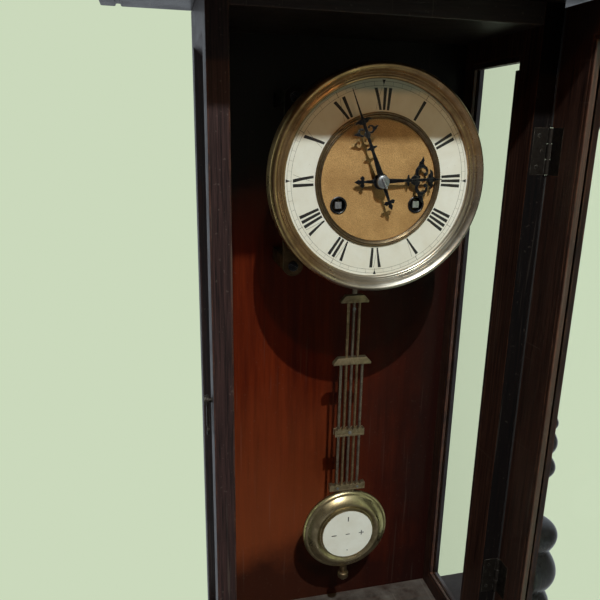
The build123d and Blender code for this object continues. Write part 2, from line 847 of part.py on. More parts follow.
with BuildPart() as back_plate:
    with BuildSketch(dial_plane.offset(back_plate_d)):
        Rectangle(plate_w, plate_h)
        with Locations(*train_holes[1:3]):
            Circle(pivot_r + pivot_fit, mode=Mode.SUBTRACT)
        with Locations((0, 0), (0, pivot_z), (hammer_x, hammer_z)):
            Circle(arbor_r + pivot_fit, mode=Mode.SUBTRACT)
        with Locations(*barrel_holes):
            hole_round(wind_arbor_r + pivot_fit)
    extrude(amount=-plate_t)
back_plate.part.label = "back_plate"
export_step(back_plate.part, "parts/back_plate.step")

with BuildPart() as pillars:
    with BuildSketch(dial_plane.offset(back_plate_d)):
        with GridLocations(2 * pillar_x, 2 * pillar_z, 2, 2):
            pin_round(pillar_r)
    extrude(amount=plate_space)
pillars.part.label = "pillars"
export_step(pillars.part, "parts/pillars.step")

# Cast bracket behind the movement: two straps with round lugs, a bridge and four posts
with BuildPart() as movement_bracket:
    with BuildSketch(dial_plane.offset(plates_rear)):
        for end in (1, -1):
            with Locations((end * strap_x, (strap_high - strap_low) / 2)):
                SlotOverall(strap_high + strap_low + strap_w, strap_w, rotation=90)
        with Locations((0, strap_high)):
            Rectangle(2 * strap_x, strap_w * 0.5)
    extrude(amount=-strap_t)
    with BuildSketch(dial_plane.offset(plates_rear - strap_t)):
        for end in (1, -1):
            with Locations((end * strap_x, -strap_low), (end * strap_x, strap_high)):
                Rectangle(2 * post_r, 2 * post_r)
    extrude(amount=-(dial_gap + plates_rear - strap_t))
movement_bracket.part.label = "movement_bracket"
export_step(movement_bracket.part, "parts/movement_bracket.step")

# Gong: a flat spiral of half-turn arcs whose inner end is held by a post on the back board
gong_d = -(dial_gap - gong_back)
gong_plane = Plane(origin=dial_plane.from_local_coords((0, gong_z, gong_d)),
                   x_dir=(1, 0, 0), z_dir=(0, -1, 0))
gong_inner_r = gong_post_r + gong_wire_w / 2 + pin_fit
gong_points = []
for index in range(gong_halves + 1):
    reach = gong_inner_r + index * gong_step / 2
    gong_points.append((reach if index % 2 == 0 else -reach, 0))
with BuildPart() as gong_coil:
    with BuildLine(gong_plane) as spiral:
        for index in range(gong_halves):
            start = gong_points[index]
            end = gong_points[index + 1]
            rise = (abs(start[0]) + abs(end[0])) / 2
            middle = ((start[0] + end[0]) / 2, rise if index % 2 == 0 else -rise)
            ThreePointArc(start, middle, end)
    start_plane = Plane(origin=spiral.line @ 0, x_dir=(0, -1, 0), z_dir=(0, 0, 1))
    with BuildSketch(start_plane):
        Rectangle(gong_wire_t, gong_wire_w)
    sweep(path=spiral.line)
gong_coil.part.label = "gong_coil"
export_step(gong_coil.part, "parts/gong_coil.step")
print("least gap between gong turns:", round(gong_step - gong_wire_w, 2))

with BuildPart() as gong_block:
    with BuildSketch(gong_plane.offset(-gong_back)):
        Rectangle(6 * gong_post_r, 3.4 * gong_post_r)
    extrude(amount=gong_back / 3)
    with BuildSketch(gong_plane.offset(-gong_back)):
        Circle(gong_post_r)
    extrude(amount=gong_back + gong_wire_t)
gong_block.part.label = "gong_block"
export_step(gong_block.part, "parts/gong_block.step")

# Going train: barrels, wheels and the anchor
third_turn = math.degrees(math.atan2(third_z, third_x))
escape_turn = math.degrees(math.atan2(escape_z - third_z, -third_x))
time_turn = math.degrees(math.atan2(-wind_z, -wind_x))
time_wheel_d = back_plate_d + 4.0
strike_wheel_d = front_plate_d - plate_t - 5.5
drum_d = time_wheel_d + great_t
centre_wheel_d = front_plate_d - plate_t - 2.5
third_wheel_d = back_plate_d + plate_space / 2
escape_wheel_d = back_plate_d + 4.0

for name, x, wheel_d, first in (
    ("time", wind_x, time_wheel_d, time_turn),
    ("strike", -wind_x, strike_wheel_d, 0.0),
):
    with BuildPart() as barrel:
        with BuildSketch(dial_plane.offset(wheel_d)):
            with Locations((x, wind_z)):
                Polygon(*tooth_points(great_teeth, great_r, first), align=None)
        extrude(amount=great_t)
        with BuildSketch(dial_plane.offset(drum_d if x > 0 else wheel_d - drum_l)):
            with Locations((x, wind_z)):
                Circle(drum_r)
        extrude(amount=drum_l)
        with BuildSketch(dial_plane.offset(back_plate_d)):
            with Locations((x, wind_z)):
                RegularPolygon(wind_arbor_r + pin_fit, round_sides, major_radius=False)
        extrude(amount=plate_space, mode=Mode.SUBTRACT)
    barrel.part.label = name + "_barrel"
    export_step(barrel.part, "parts/" + name + "_barrel.step")

    with BuildPart() as winding_arbor:
        with BuildSketch(dial_plane.offset(plates_rear)):
            with Locations((x, wind_z)):
                pin_round(wind_arbor_r)
        extrude(amount=plate_space + 2 * plate_t)
        with BuildSketch(dial_plane.offset(front_plate_d)):
            with Locations((x, wind_z)):
                Rectangle(wind_square, wind_square)
        extrude(amount=front_gap + dial_t - disc_drop)
    winding_arbor.part.label = name + "_winding_arbor"
    export_step(winding_arbor.part, "parts/" + name + "_winding_arbor.step")

cannon_d = front_plate_d + 0.5
hour_wheel_d = cannon_d + motion_t + 0.7
minute_hand_d = hour_hand_d + hand_t + hand_gap
with BuildPart() as centre_wheel:
    with BuildSketch(dial_plane.offset(centre_wheel_d)):
        Polygon(*tooth_points(centre_teeth, centre_r, third_turn), align=None)
        with PolarLocations(centre_r * 0.55, 4, start_angle=45):
            Rectangle(centre_r * 0.4, centre_r * 0.4, mode=Mode.SUBTRACT)
    extrude(amount=wheel_t)
    with BuildSketch(dial_plane.offset(time_wheel_d)):
        half_step = 180 / centre_pinion_teeth
        Polygon(*tooth_points(centre_pinion_teeth, centre_pinion_r, time_turn + 180 + half_step), align=None)
    extrude(amount=great_t)
    with BuildSketch(dial_plane.offset(plates_rear)):
        pin_round(arbor_r)
    extrude(amount=minute_hand_d - plates_rear)
centre_wheel.part.label = "centre_wheel"
export_step(centre_wheel.part, "parts/centre_wheel.step")

with BuildPart() as third_wheel:
    with BuildSketch(dial_plane.offset(third_wheel_d)):
        with Locations((third_x, third_z)):
            Polygon(*tooth_points(third_teeth, third_r, escape_turn), align=None)
            with PolarLocations(third_r * 0.55, 4):
                Rectangle(third_r * 0.4, third_r * 0.4, mode=Mode.SUBTRACT)
    extrude(amount=wheel_t)
    with BuildSketch(dial_plane.offset(centre_wheel_d)):
        with Locations((third_x, third_z)):
            half_step = 180 / third_pinion_teeth
            Polygon(*tooth_points(third_pinion_teeth, third_pinion_r, third_turn + 180 + half_step), align=None)
    extrude(amount=wheel_t)
    with BuildSketch(dial_plane.offset(plates_rear)):
        with Locations((third_x, third_z)):
            pin_round(pivot_r)
    extrude(amount=plate_space + 2 * plate_t)
third_wheel.part.label = "third_wheel"
export_step(third_wheel.part, "parts/third_wheel.step")

escape_root = escape_r * 0.84
escape_points = []
for index in range(escape_teeth):
    for radius, share in ((escape_root, 0.0), (escape_r, 0.36), (escape_root, 0.5)):
        angle = math.radians(360 / escape_teeth * (index + share))
        escape_points.append((radius * math.cos(angle), radius * math.sin(angle)))
with BuildPart() as escape_wheel:
    with BuildSketch(dial_plane.offset(escape_wheel_d)):
        with Locations((0, escape_z)):
            Polygon(*escape_points, align=None)
    extrude(amount=wheel_t)
    with BuildSketch(dial_plane.offset(third_wheel_d)):
        with Locations((0, escape_z)):
            half_step = 180 / escape_pinion_teeth
            Polygon(*tooth_points(escape_pinion_teeth, escape_pinion_r, escape_turn + 180 + half_step), align=None)
    extrude(amount=wheel_t)
    with BuildSketch(dial_plane.offset(plates_rear)):
        with Locations((0, escape_z)):
            pin_round(pivot_r)
    extrude(amount=plate_space + 2 * plate_t)
escape_wheel.part.label = "escape_wheel"
export_step(escape_wheel.part, "parts/escape_wheel.step")

# Anchor over the escape wheel, on the pendulum's own axis, with the crutch behind the plates
anchor_reach = escape_r + 1.6
crutch_d = plates_rear - crutch_gap - crutch_t
crutch_fork_z = bar_z[0] + bar_h + fork_over
fork_x = hanger_rod_w / 2 + pivot_r + crutch_play
with BuildPart() as anchor:
    with BuildSketch(dial_plane.offset(escape_wheel_d - 0.5)):
        with BuildLine():
            ThreePointArc(
                (-anchor_reach * 0.8, escape_z + anchor_reach * 0.6),
                (0, escape_z + anchor_reach),
                (anchor_reach * 0.8, escape_z + anchor_reach * 0.6),
            )
            Line(
                (anchor_reach * 0.8, escape_z + anchor_reach * 0.6),
                (anchor_reach * 0.92, escape_z + anchor_reach * 0.72),
            )
            ThreePointArc(
                (anchor_reach * 0.92, escape_z + anchor_reach * 0.72),
                (0, pivot_z + 3.2),
                (-anchor_reach * 0.92, escape_z + anchor_reach * 0.72),
            )
            Line(
                (-anchor_reach * 0.92, escape_z + anchor_reach * 0.72),
                (-anchor_reach * 0.8, escape_z + anchor_reach * 0.6),
            )
        make_face()
    extrude(amount=wheel_t + 1)
    with BuildSketch(dial_plane.offset(crutch_d)):
        with Locations((0, pivot_z)):
            pin_round(arbor_r)
    extrude(amount=front_plate_d - plate_t - crutch_d)
    with BuildSketch(dial_plane.offset(front_plate_d - plate_t)):
        with Locations((0, pivot_z)):
            pin_round(pivot_r)
    extrude(amount=plate_t)
    with BuildSketch(dial_plane.offset(crutch_d)):
        with Locations((0, (pivot_z + crutch_fork_z) / 2)):
            Rectangle(2 * pivot_r, pivot_z - crutch_fork_z)
        with Locations((0, crutch_fork_z)):
            Rectangle(2 * fork_x, 2 * pivot_r)
        with Locations((fork_x, crutch_fork_z), (-fork_x, crutch_fork_z)):
            pin_round(pivot_r)
    extrude(amount=crutch_t)
    with BuildSketch(dial_plane.offset(crutch_d)):
        with Locations((fork_x, crutch_fork_z), (-fork_x, crutch_fork_z)):
            pin_round(pivot_r)
    extrude(amount=-(swing_plane + crutch_d + fork_over))
anchor.part.label = "anchor"
export_step(anchor.part, "parts/anchor.step")

# Motion work and hands
with BuildPart() as cannon_pinion:
    with BuildSketch(dial_plane.offset(cannon_d)):
        Polygon(*tooth_points(cannon_teeth, cannon_pitch_r, -90), align=None)
    extrude(amount=motion_t)
    with BuildSketch(dial_plane.offset(cannon_d)):
        pin_round(cannon_r)
    extrude(amount=minute_hand_d - cannon_d)
    with BuildSketch(dial_plane.offset(cannon_d)):
        RegularPolygon(arbor_r + pin_fit, round_sides, major_radius=False)
    extrude(amount=minute_hand_d - cannon_d, mode=Mode.SUBTRACT)
cannon_pinion.part.label = "cannon_pinion"
export_step(cannon_pinion.part, "parts/cannon_pinion.step")

with BuildPart() as minute_wheel:
    with BuildSketch(dial_plane.offset(cannon_d)):
        with Locations((minute_x, minute_z)):
            Polygon(*tooth_points(minute_teeth, minute_pitch_r, 90 + 180 / minute_teeth), align=None)
    extrude(amount=motion_t)
    with BuildSketch(dial_plane.offset(cannon_d)):
        with Locations((minute_x, minute_z)):
            Polygon(*tooth_points(minute_pinion_teeth, minute_pinion_r, 90), align=None)
    extrude(amount=hour_wheel_d + motion_t - cannon_d)
    with BuildSketch(dial_plane.offset(cannon_d)):
        with Locations((minute_x, minute_z)):
            RegularPolygon(pivot_r + pivot_fit, round_sides, major_radius=False)
    extrude(amount=hour_wheel_d + motion_t - cannon_d, mode=Mode.SUBTRACT)
minute_wheel.part.label = "minute_wheel"
export_step(minute_wheel.part, "parts/minute_wheel.step")

with BuildPart() as hour_wheel:
    with BuildSketch(dial_plane.offset(hour_wheel_d)):
        Polygon(*tooth_points(hour_teeth, hour_pitch_r, -90 + 180 / hour_teeth), align=None)
    extrude(amount=motion_t)
    with BuildSketch(dial_plane.offset(hour_wheel_d)):
        pin_round(hour_pipe_r)
    extrude(amount=hour_hand_d - hour_wheel_d)
    with BuildSketch(dial_plane.offset(hour_wheel_d)):
        RegularPolygon(cannon_r + cannon_fit, round_sides, major_radius=False)
    extrude(amount=hour_hand_d - hour_wheel_d, mode=Mode.SUBTRACT)
hour_wheel.part.label = "hour_wheel"
export_step(hour_wheel.part, "parts/hour_wheel.step")


# A pierced hand pointing along +Y of its sketch, with a scroll head and a trefoil tail
def hand_outline(length, head, hole_r):
    pin_round(hand_hub_r)
    with Locations((0, (head - tail_l) / 2)):
        Rectangle(2.4, head + tail_l - 4)
    for end in (1, -1):
        with Locations((end * 4.2, head - 4)):
            Circle(4.4)
            hole_round(2.4)
        with Locations((end * 4.8, head + 1.6), (end * 2.6, -tail_l + 5)):
            pin_round(2.2)
    with Locations((0, head + 3)):
        Rectangle(3.2, 14)
    with Locations((0, -tail_l + 2.2)):
        pin_round(2.2)
    Polygon((-2.2, head + 8), (0, length), (2.2, head + 8), align=None)
    hole_round(hole_r)


for name, length, head, hole_r, depth, angle in (
    ("minute", minute_l, minute_l * 0.72, arbor_r + pin_fit, minute_hand_d, minute_turn),
    ("hour", hour_l, hour_l * 0.72, cannon_r + cannon_fit, hour_hand_d, hour_turn),
):
    lean = math.radians(angle)
    hand_plane = Plane(
        origin=dial_plane.from_local_coords((0, 0, depth)),
        x_dir=(math.cos(lean), 0, -math.sin(lean)),
        z_dir=dial_plane.z_dir,
    )
    with BuildPart() as hand:
        with BuildSketch(hand_plane):
            hand_outline(length, head, hole_r)
        extrude(amount=hand_t)
    hand.part.label = name + "_hand"
    export_step(hand.part, "parts/" + name + "_hand.step")

nut_seat = minute_hand_d + hand_t
nut_rings = ((nut_r, 0), (nut_r, nut_h * 0.4), (nut_r * 0.8, nut_h * 0.4), (nut_r * 0.4, nut_h * 0.2))
with BuildPart() as hand_nut:
    add(turned(dial_plane.offset(nut_seat), nut_rings, turned_sides))
hand_nut.part.label = "hand_nut"
export_step(hand_nut.part, "parts/hand_nut.step")

# Strike hammer: an arbor through the back plate, an arm and a head beside the gong
hammer_d = gong_d + gong_wire_t / 2
with BuildPart() as strike_hammer:
    with BuildSketch(dial_plane.offset(hammer_d - 1)):
        with Locations((hammer_x, hammer_z)):
            pin_round(arbor_r)
    extrude(amount=back_plate_d + plate_t - hammer_d)
    with BuildSketch(dial_plane.offset(hammer_d - 1)):
        with Locations((hammer_x, hammer_z - hammer_drop / 2)):
            Rectangle(2 * arbor_r, hammer_drop)
    extrude(amount=2)
    with BuildSketch(dial_plane.offset(hammer_d - hammer_r)):
        with Locations((hammer_x, hammer_z - hammer_drop)):
            Rectangle(2 * hammer_half, 2 * hammer_r)
    extrude(amount=2 * hammer_r)
strike_hammer.part.label = "strike_hammer"
export_step(strike_hammer.part, "parts/strike_hammer.step")

# Suspension: a slotted cock on the back plate and a spring with the pendulum's upper rod
swing_d = -swing_plane
cock_w = 16.0
with BuildPart() as suspension_cock:
    with BuildSketch(dial_plane.offset(plates_rear)):
        with Locations((0, pivot_z + 8)):
            Rectangle(cock_w, 9)
    extrude(amount=-(swing_plane + plates_rear + spring_w / 2 + 2))
    with BuildSketch(dial_plane.offset(swing_d + spring_w / 2 + spring_slot)):
        with Locations((0, pivot_z + 5)):
            Rectangle(spring_t + 2 * spring_slot, 8)
    extrude(amount=-(spring_w + 2 * spring_slot), mode=Mode.SUBTRACT)
suspension_cock.part.label = "suspension_cock"
export_step(suspension_cock.part, "parts/suspension_cock.step")

with BuildPart() as suspension_spring:
    with BuildSketch(dial_plane.offset(swing_d - spring_w / 2)):
        with Locations((0, (pivot_z + 7 + spring_low) / 2)):
            Rectangle(spring_t, pivot_z + 7 - spring_low)
    extrude(amount=spring_w)
    with BuildSketch(dial_plane.offset(swing_d - spring_w / 2 - 0.6)):
        with Locations((0, spring_low)):
            Rectangle(6, 5)
    extrude(amount=spring_w + 1.2)
suspension_spring.part.label = "suspension_spring"
export_step(suspension_spring.part, "parts/suspension_spring.step")

hook_top = spring_low - 2.5
with BuildPart() as pendulum_hook:
    with BuildSketch(dial_plane.offset(swing_d - 1)):
        with Locations((0, (hook_top + bar_z[0] + bar_h / 2) / 2)):
            Rectangle(hanger_rod_w, hook_top - bar_z[0] - bar_h / 2)
        with Locations((0, hook_top - 3)):
            Rectangle(hanger_rod_w + 4, 6)
    extrude(amount=2)
pendulum_hook.part.label = "pendulum_hook"
export_step(pendulum_hook.part, "parts/pendulum_hook.step")

# Gridiron: flared and notched crossbars, rods between them, and the bob on its own rod
with BuildPart() as crossbars:
    for index, (height, width) in enumerate(zip(bar_z, bar_w)):
        flare = bar_flare if index < 2 else 0
        with BuildSketch(dial_plane.offset(swing_d - bar_t / 2)):
            Polygon(
                (-width / 2, height - bar_h / 2),
                (width / 2, height - bar_h / 2),
                (width / 2, height - bar_h / 4),
                (width / 2 - flare, height + bar_h / 2),
                (-width / 2 + flare, height + bar_h / 2),
                (-width / 2, height - bar_h / 4),
                align=None,
            )
            if index > 1:
                with Locations((0, height + bar_h / 2)):
                    with GridLocations(rod_pitch, 1, 6, 1):
                        Rectangle(notch_w, notch_w, rotation=45, mode=Mode.SUBTRACT)
        extrude(amount=bar_t)
crossbars.part.label = "crossbars"
export_step(crossbars.part, "parts/crossbars.step")

rod_spans = [(bar_z[i] - bar_h / 2, bar_z[i + 1] + bar_h / 2) for i in range(len(bar_z) - 1)]
for name, places in (("brass", (-1, 1)), ("steel", (-2, 0, 2))):
    with BuildPart() as rods:
        for span_index, (high, low) in enumerate(rod_spans):
            for along in places:
                if abs(along) < 2 or span_index:
                    foot = dial_plane.from_local_coords((along * rod_pitch, low, swing_d))
                    with BuildSketch(Plane(origin=foot, x_dir=(1, 0, 0), z_dir=(0, 0, 1))):
                        pin_round(rod_r)
                    extrude(amount=high - low)
        if name == "steel":
            foot = dial_plane.from_local_coords((0, nut_z - rating_h, swing_d))
            with BuildSketch(Plane(origin=foot, x_dir=(1, 0, 0), z_dir=(0, 0, 1))):
                pin_round(bob_rod_r)
            extrude(amount=bar_z[-1] - bar_h / 2 - nut_z + rating_h)
    rods.part.label = name + "_rods"
    export_step(rods.part, "parts/" + name + "_rods.step")

bob_face = bob_t / 2
bob_rings = (
    (bob_r * 0.85, -bob_face * 0.6),
    (bob_r, bob_face * 0.5),
    (bob_r, 2 * bob_edge),
    (bob_r * 0.92, bob_face * 0.54),
    (bob_r * 0.8, bob_face * 0.24),
    (bob_disc_r + 3, bob_face * 0.12),
)
with BuildPart() as bob_shell:
    bob_seat = Plane(
        origin=dial_plane.from_local_coords((0, bob_z, swing_d)),
        x_dir=dial_plane.x_dir,
        z_dir=dial_plane.z_dir,
    )
    add(turned(bob_seat, bob_rings, bob_sides))
    with BuildSketch(dial_plane.offset(swing_d + bob_face)):
        with Locations((0, bob_z)):
            RegularPolygon(bob_disc_r, bob_sides, major_radius=False)
    extrude(amount=-bob_disc_t, mode=Mode.SUBTRACT)
    foot = dial_plane.from_local_coords((0, bob_z - bob_r - 1, swing_d))
    with BuildSketch(Plane(origin=foot, x_dir=(1, 0, 0), z_dir=(0, 0, 1))):
        RegularPolygon(bob_rod_r + rod_fit, round_sides, major_radius=False)
    extrude(amount=2 * bob_r + 2, mode=Mode.SUBTRACT)
bob_shell.part.label = "bob_shell"
export_step(bob_shell.part, "parts/bob_shell.step")

with BuildPart() as bob_disc:
    with BuildSketch(dial_plane.offset(swing_d + bob_t / 2 - bob_disc_t)):
        with Locations((0, bob_z)):
            RegularPolygon(bob_disc_r - pin_fit, bob_sides)
    extrude(amount=bob_disc_t)
bob_disc.part.label = "bob_disc"
export_step(bob_disc.part, "parts/bob_disc.step")

with BuildPart() as rating_nut:
    foot = dial_plane.from_local_coords((0, nut_z - rating_h / 2, swing_d))
    with BuildSketch(Plane(origin=foot, x_dir=(1, 0, 0), z_dir=(0, 0, 1))):
        RegularPolygon(rating_r, turned_sides)
    extrude(amount=rating_h)
    with BuildSketch(Plane(origin=foot, x_dir=(1, 0, 0), z_dir=(0, 0, 1)).offset(rating_h)):
        Circle(bob_rod_r + 1.4)
    extrude(amount=bob_z - bob_r - rating_seat - nut_z - rating_h / 2)
    with BuildSketch(Plane(origin=foot, x_dir=(1, 0, 0), z_dir=(0, 0, 1))):
        RegularPolygon(bob_rod_r + pin_fit, round_sides, major_radius=False)
    extrude(amount=bob_z - bob_r - nut_z + rating_h, mode=Mode.SUBTRACT)
rating_nut.part.label = "rating_nut"
export_step(rating_nut.part, "parts/rating_nut.step")
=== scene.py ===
import json
import math
import bpy
import bmesh
from mathutils import Matrix, Vector


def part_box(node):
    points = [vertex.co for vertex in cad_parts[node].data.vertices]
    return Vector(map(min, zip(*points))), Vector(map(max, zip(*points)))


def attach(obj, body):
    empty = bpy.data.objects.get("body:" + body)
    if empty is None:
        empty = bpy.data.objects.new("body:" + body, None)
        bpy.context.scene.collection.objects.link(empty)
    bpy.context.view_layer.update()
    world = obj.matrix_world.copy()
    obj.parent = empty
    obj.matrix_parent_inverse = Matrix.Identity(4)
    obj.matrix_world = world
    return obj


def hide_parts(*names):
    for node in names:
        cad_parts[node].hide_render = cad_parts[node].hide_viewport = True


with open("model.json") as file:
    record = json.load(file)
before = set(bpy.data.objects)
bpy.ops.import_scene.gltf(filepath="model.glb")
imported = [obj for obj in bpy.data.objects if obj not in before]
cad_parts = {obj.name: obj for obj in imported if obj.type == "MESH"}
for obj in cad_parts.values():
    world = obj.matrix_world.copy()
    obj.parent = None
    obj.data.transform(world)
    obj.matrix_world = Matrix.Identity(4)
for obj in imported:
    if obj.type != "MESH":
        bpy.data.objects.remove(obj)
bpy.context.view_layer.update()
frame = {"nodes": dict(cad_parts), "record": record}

mm = 0.001
record = frame["record"]
nodeBody = {node: body for body, nodes in record["behaviour"]["bodies"].items() for node in nodes}
print("frame loaded with", len(nodeBody), "nodes")


# small node helpers; colours are given without their alpha
def isLinked(value):
    return isinstance(value, bpy.types.NodeSocket)


def feed(socket, value):
    if isLinked(value):
        socket.id_data.links.new(value, socket)
    elif socket.type == "RGBA":
        socket.default_value = (*value, 1)
    else:
        socket.default_value = value


def dress(node, **inputs):
    for key, value in inputs.items():
        feed(node.inputs[key.replace("_", " ")], value)


def addNode(tree, kind, inputs=None, **settings):
    node = tree.nodes.new(kind)
    for key, value in settings.items():
        setattr(node, key, value)
    for key, value in (inputs or {}).items():
        feed(node.inputs[key], value)
    return node


# the outputs of a new node, in the tree of its first linked input
def follow(kind, inputs, **settings):
    tree = next(value.id_data for value in inputs.values() if isLinked(value))
    return addNode(tree, kind, inputs, **settings).outputs


def calc(operation, *values):
    return follow("ShaderNodeMath", dict(enumerate(values)), operation=operation)[0]


def mul(first, second):
    return calc("MULTIPLY", first, second)


def mulAdd(value, by, plus):
    return calc("MULTIPLY_ADD", value, by, plus)


def flip(value):
    return calc("SUBTRACT", 1.0, value)


def vectorCalc(operation, *vectors):
    outputs = follow("ShaderNodeVectorMath", dict(enumerate(vectors)), operation=operation)
    return outputs["Value" if operation in ("DOT_PRODUCT", "LENGTH") else "Vector"]


def span(value, low, high, toLow=0.0, toHigh=1.0):
    inputs = {"Value": value, "From Min": low, "From Max": high, "To Min": toLow, "To Max": toHigh}
    return follow("ShaderNodeMapRange", inputs)[0]


def blend(share, first, second):
    return follow("ShaderNodeMix", {0: share, 6: first, 7: second}, data_type="RGBA")[2]


def noise(vector, scale, detail=3.0, roughness=0.55, distortion=0.0):
    inputs = {"Vector": vector, "Scale": scale, "Detail": detail, "Roughness": roughness, "Distortion": distortion}
    return follow("ShaderNodeTexNoise", inputs)["Fac"]


def split(vector):
    return follow("ShaderNodeSeparateXYZ", {0: vector})


def objectPoint(tree):
    return addNode(tree, "ShaderNodeTexCoord").outputs["Object"]


def faceNormal(tree):
    return addNode(tree, "ShaderNodeNewGeometry").outputs["Normal"]


def newGroup(name, inputs, outputs):
    group = bpy.data.node_groups.new(name, "ShaderNodeTree")
    for way, sockets in (("INPUT", inputs), ("OUTPUT", outputs)):
        for label, kind in sockets.items():
            group.interface.new_socket(label, in_out=way, socket_type="NodeSocket" + kind)
    return group, group.nodes.new("NodeGroupInput").outputs, group.nodes.new("NodeGroupOutput")


# long streaks, pores and a broad figure along the grain
def makeWoodGrain():
    group, given, out = newGroup(
        "woodGrain", dict(Stretch="Vector", Scale="Float", Dark="Color", Light="Color", Figure="Float"),
        dict(Color="Color", Height="Float", Streak="Float"))
    point = vectorCalc("MULTIPLY", objectPoint(group), given["Stretch"])
    broad = noise(point, mul(given["Scale"], 0.07), 4, 0.6, 0.8)
    fine = noise(point, given["Scale"], 7, 0.68, 0.3)
    pores = span(noise(point, mul(given["Scale"], 2.6), 2), 0.6, 0.7)
    streak = span(fine, 0.33, 0.7)
    figure = mul(span(broad, 0.3, 0.7), given["Figure"])
    share = mul(streak, calc("ADD", flip(given["Figure"]), figure))
    colour = blend(share, given["Dark"], given["Light"])
    colour = blend(mul(pores, 0.55), colour, given["Dark"])
    height = calc("SUBTRACT", fine, mul(pores, 0.5))
    dress(out, Color=colour, Height=height, Streak=streak)
    return group


# worn edges: where a rounded normal leaves the face's own normal, broken up by noise
def makeEdgeWear():
    group, given, out = newGroup("edgeWear", dict(Radius="Float", Scale="Float", Amount="Float"), dict(Mask="Float"))
    rounded = follow("ShaderNodeBevel", {"Radius": given["Radius"]}, samples=4)[0]
    alike = vectorCalc("DOT_PRODUCT", rounded, faceNormal(group))
    edge = span(flip(alike), 0.01, 0.2)
    broken = span(noise(objectPoint(group), given["Scale"], 5, 0.7), 0.38, 0.62)
    dress(out, Mask=mul(mul(edge, broken), given["Amount"]))
    return group


# dust that lies on upward faces in uneven patches
def makeDustFilm():
    group, given, out = newGroup("dustFilm", dict(Amount="Float", Scale="Float"), dict(Mask="Float"))
    upward = split(faceNormal(group))["Z"]
    patch = span(noise(objectPoint(group), given["Scale"], 6, 0.7), 0.3, 0.75)
    specks = span(noise(objectPoint(group), mul(given["Scale"], 30.0), 2), 0.66, 0.74)
    lying = mul(span(upward, 0.4, 0.95), patch)
    mask = mul(mulAdd(specks, 0.18, lying), given["Amount"])
    dress(out, Mask=calc("MINIMUM", mask, 1.0))
    return group


# fine scratches in two crossing directions, and rubbed patches
def makeScuffs():
    group, given, out = newGroup(
        "scuffs", dict(Scale="Float", Amount="Float"), dict(Scratch="Float", Patch="Float"))
    lines = []
    for turn, stretch in (((0.5, 0.4, 0.7), (1, 1, 0.025)), ((1.2, -0.8, 0.3), (1, 0.03, 1))):
        inputs = {"Vector": objectPoint(group), "Rotation": turn, "Scale": stretch}
        turned = follow("ShaderNodeMapping", inputs)[0]
        lines.append(span(noise(turned, mul(given["Scale"], 9.0), 1), 0.7, 0.74))
    patch = span(noise(objectPoint(group), given["Scale"], 5, 0.65), 0.45, 0.7)
    scratch = calc("MAXIMUM", *lines)
    dress(out, Scratch=mul(scratch, given["Amount"]), Patch=mul(patch, given["Amount"]))
    return group


# old metal: bright and dull patches with dark specks
def makeTarnish():
    group, given, out = newGroup(
        "tarnish", dict(Scale="Float", Bright="Color", Dull="Color", Specks="Float"),
        dict(Color="Color", Dulled="Float", Height="Float"))
    point = objectPoint(group)
    cloud = noise(point, given["Scale"], 7, 0.66, 0.5)
    dulled = span(cloud, 0.36, 0.68)
    speck = span(noise(point, mul(given["Scale"], 11.0), 3, 0.6), 0.64, 0.72)
    speck = mul(speck, given["Specks"])
    colour = blend(dulled, given["Bright"], given["Dull"])
    colour = blend(speck, colour, (0.02, 0.014, 0.009))
    dress(out, Color=colour, Dulled=calc("MAXIMUM", dulled, speck), Height=cloud)
    return group


# rings left by turning, as thin lines of equal distance from a centre
def makeTurnedRings():
    group, given, out = newGroup(
        "turnedRings", dict(Centre="Vector", Across="Vector", Scale="Float"), dict(Height="Float"))
    away = vectorCalc("SUBTRACT", objectPoint(group), given["Centre"])
    reach = vectorCalc("LENGTH", vectorCalc("MULTIPLY", away, given["Across"]))
    lines = follow("ShaderNodeTexNoise", {"W": reach, "Scale": given["Scale"], "Detail": 3.0}, noise_dimensions="1D")
    dress(out, Height=lines["Fac"])
    return group


groups = {make.__name__[4:]: make() for make in (
    makeWoodGrain, makeEdgeWear, makeDustFilm, makeScuffs, makeTarnish, makeTurnedRings)}
print("node groups made:", ", ".join(groups))


def useGroup(tree, name, **inputs):
    node = addNode(tree, "ShaderNodeGroup", node_tree=groups[name])
    dress(node, **inputs)
    return node.outputs


def newFinish(name, **constants):
    finish = bpy.data.materials.new(name)
    finish.use_nodes = True
    tree = finish.node_tree
    shader = tree.nodes["Principled BSDF"]
    dress(shader, **constants)
    return finish, tree, shader


def setBump(shader, height, strength, distance):
    dress(shader, Normal=follow("ShaderNodeBump", {"Strength": strength, "Distance": distance, "Height": height})[0])


def middle(box):
    return [(low + high) / 2 for low, high in zip(*box)]


dialX, _, dialZ = middle(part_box("bezel"))
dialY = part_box("chapter_ring")[0].y
bobX, _, bobZ = middle(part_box("bob_shell"))

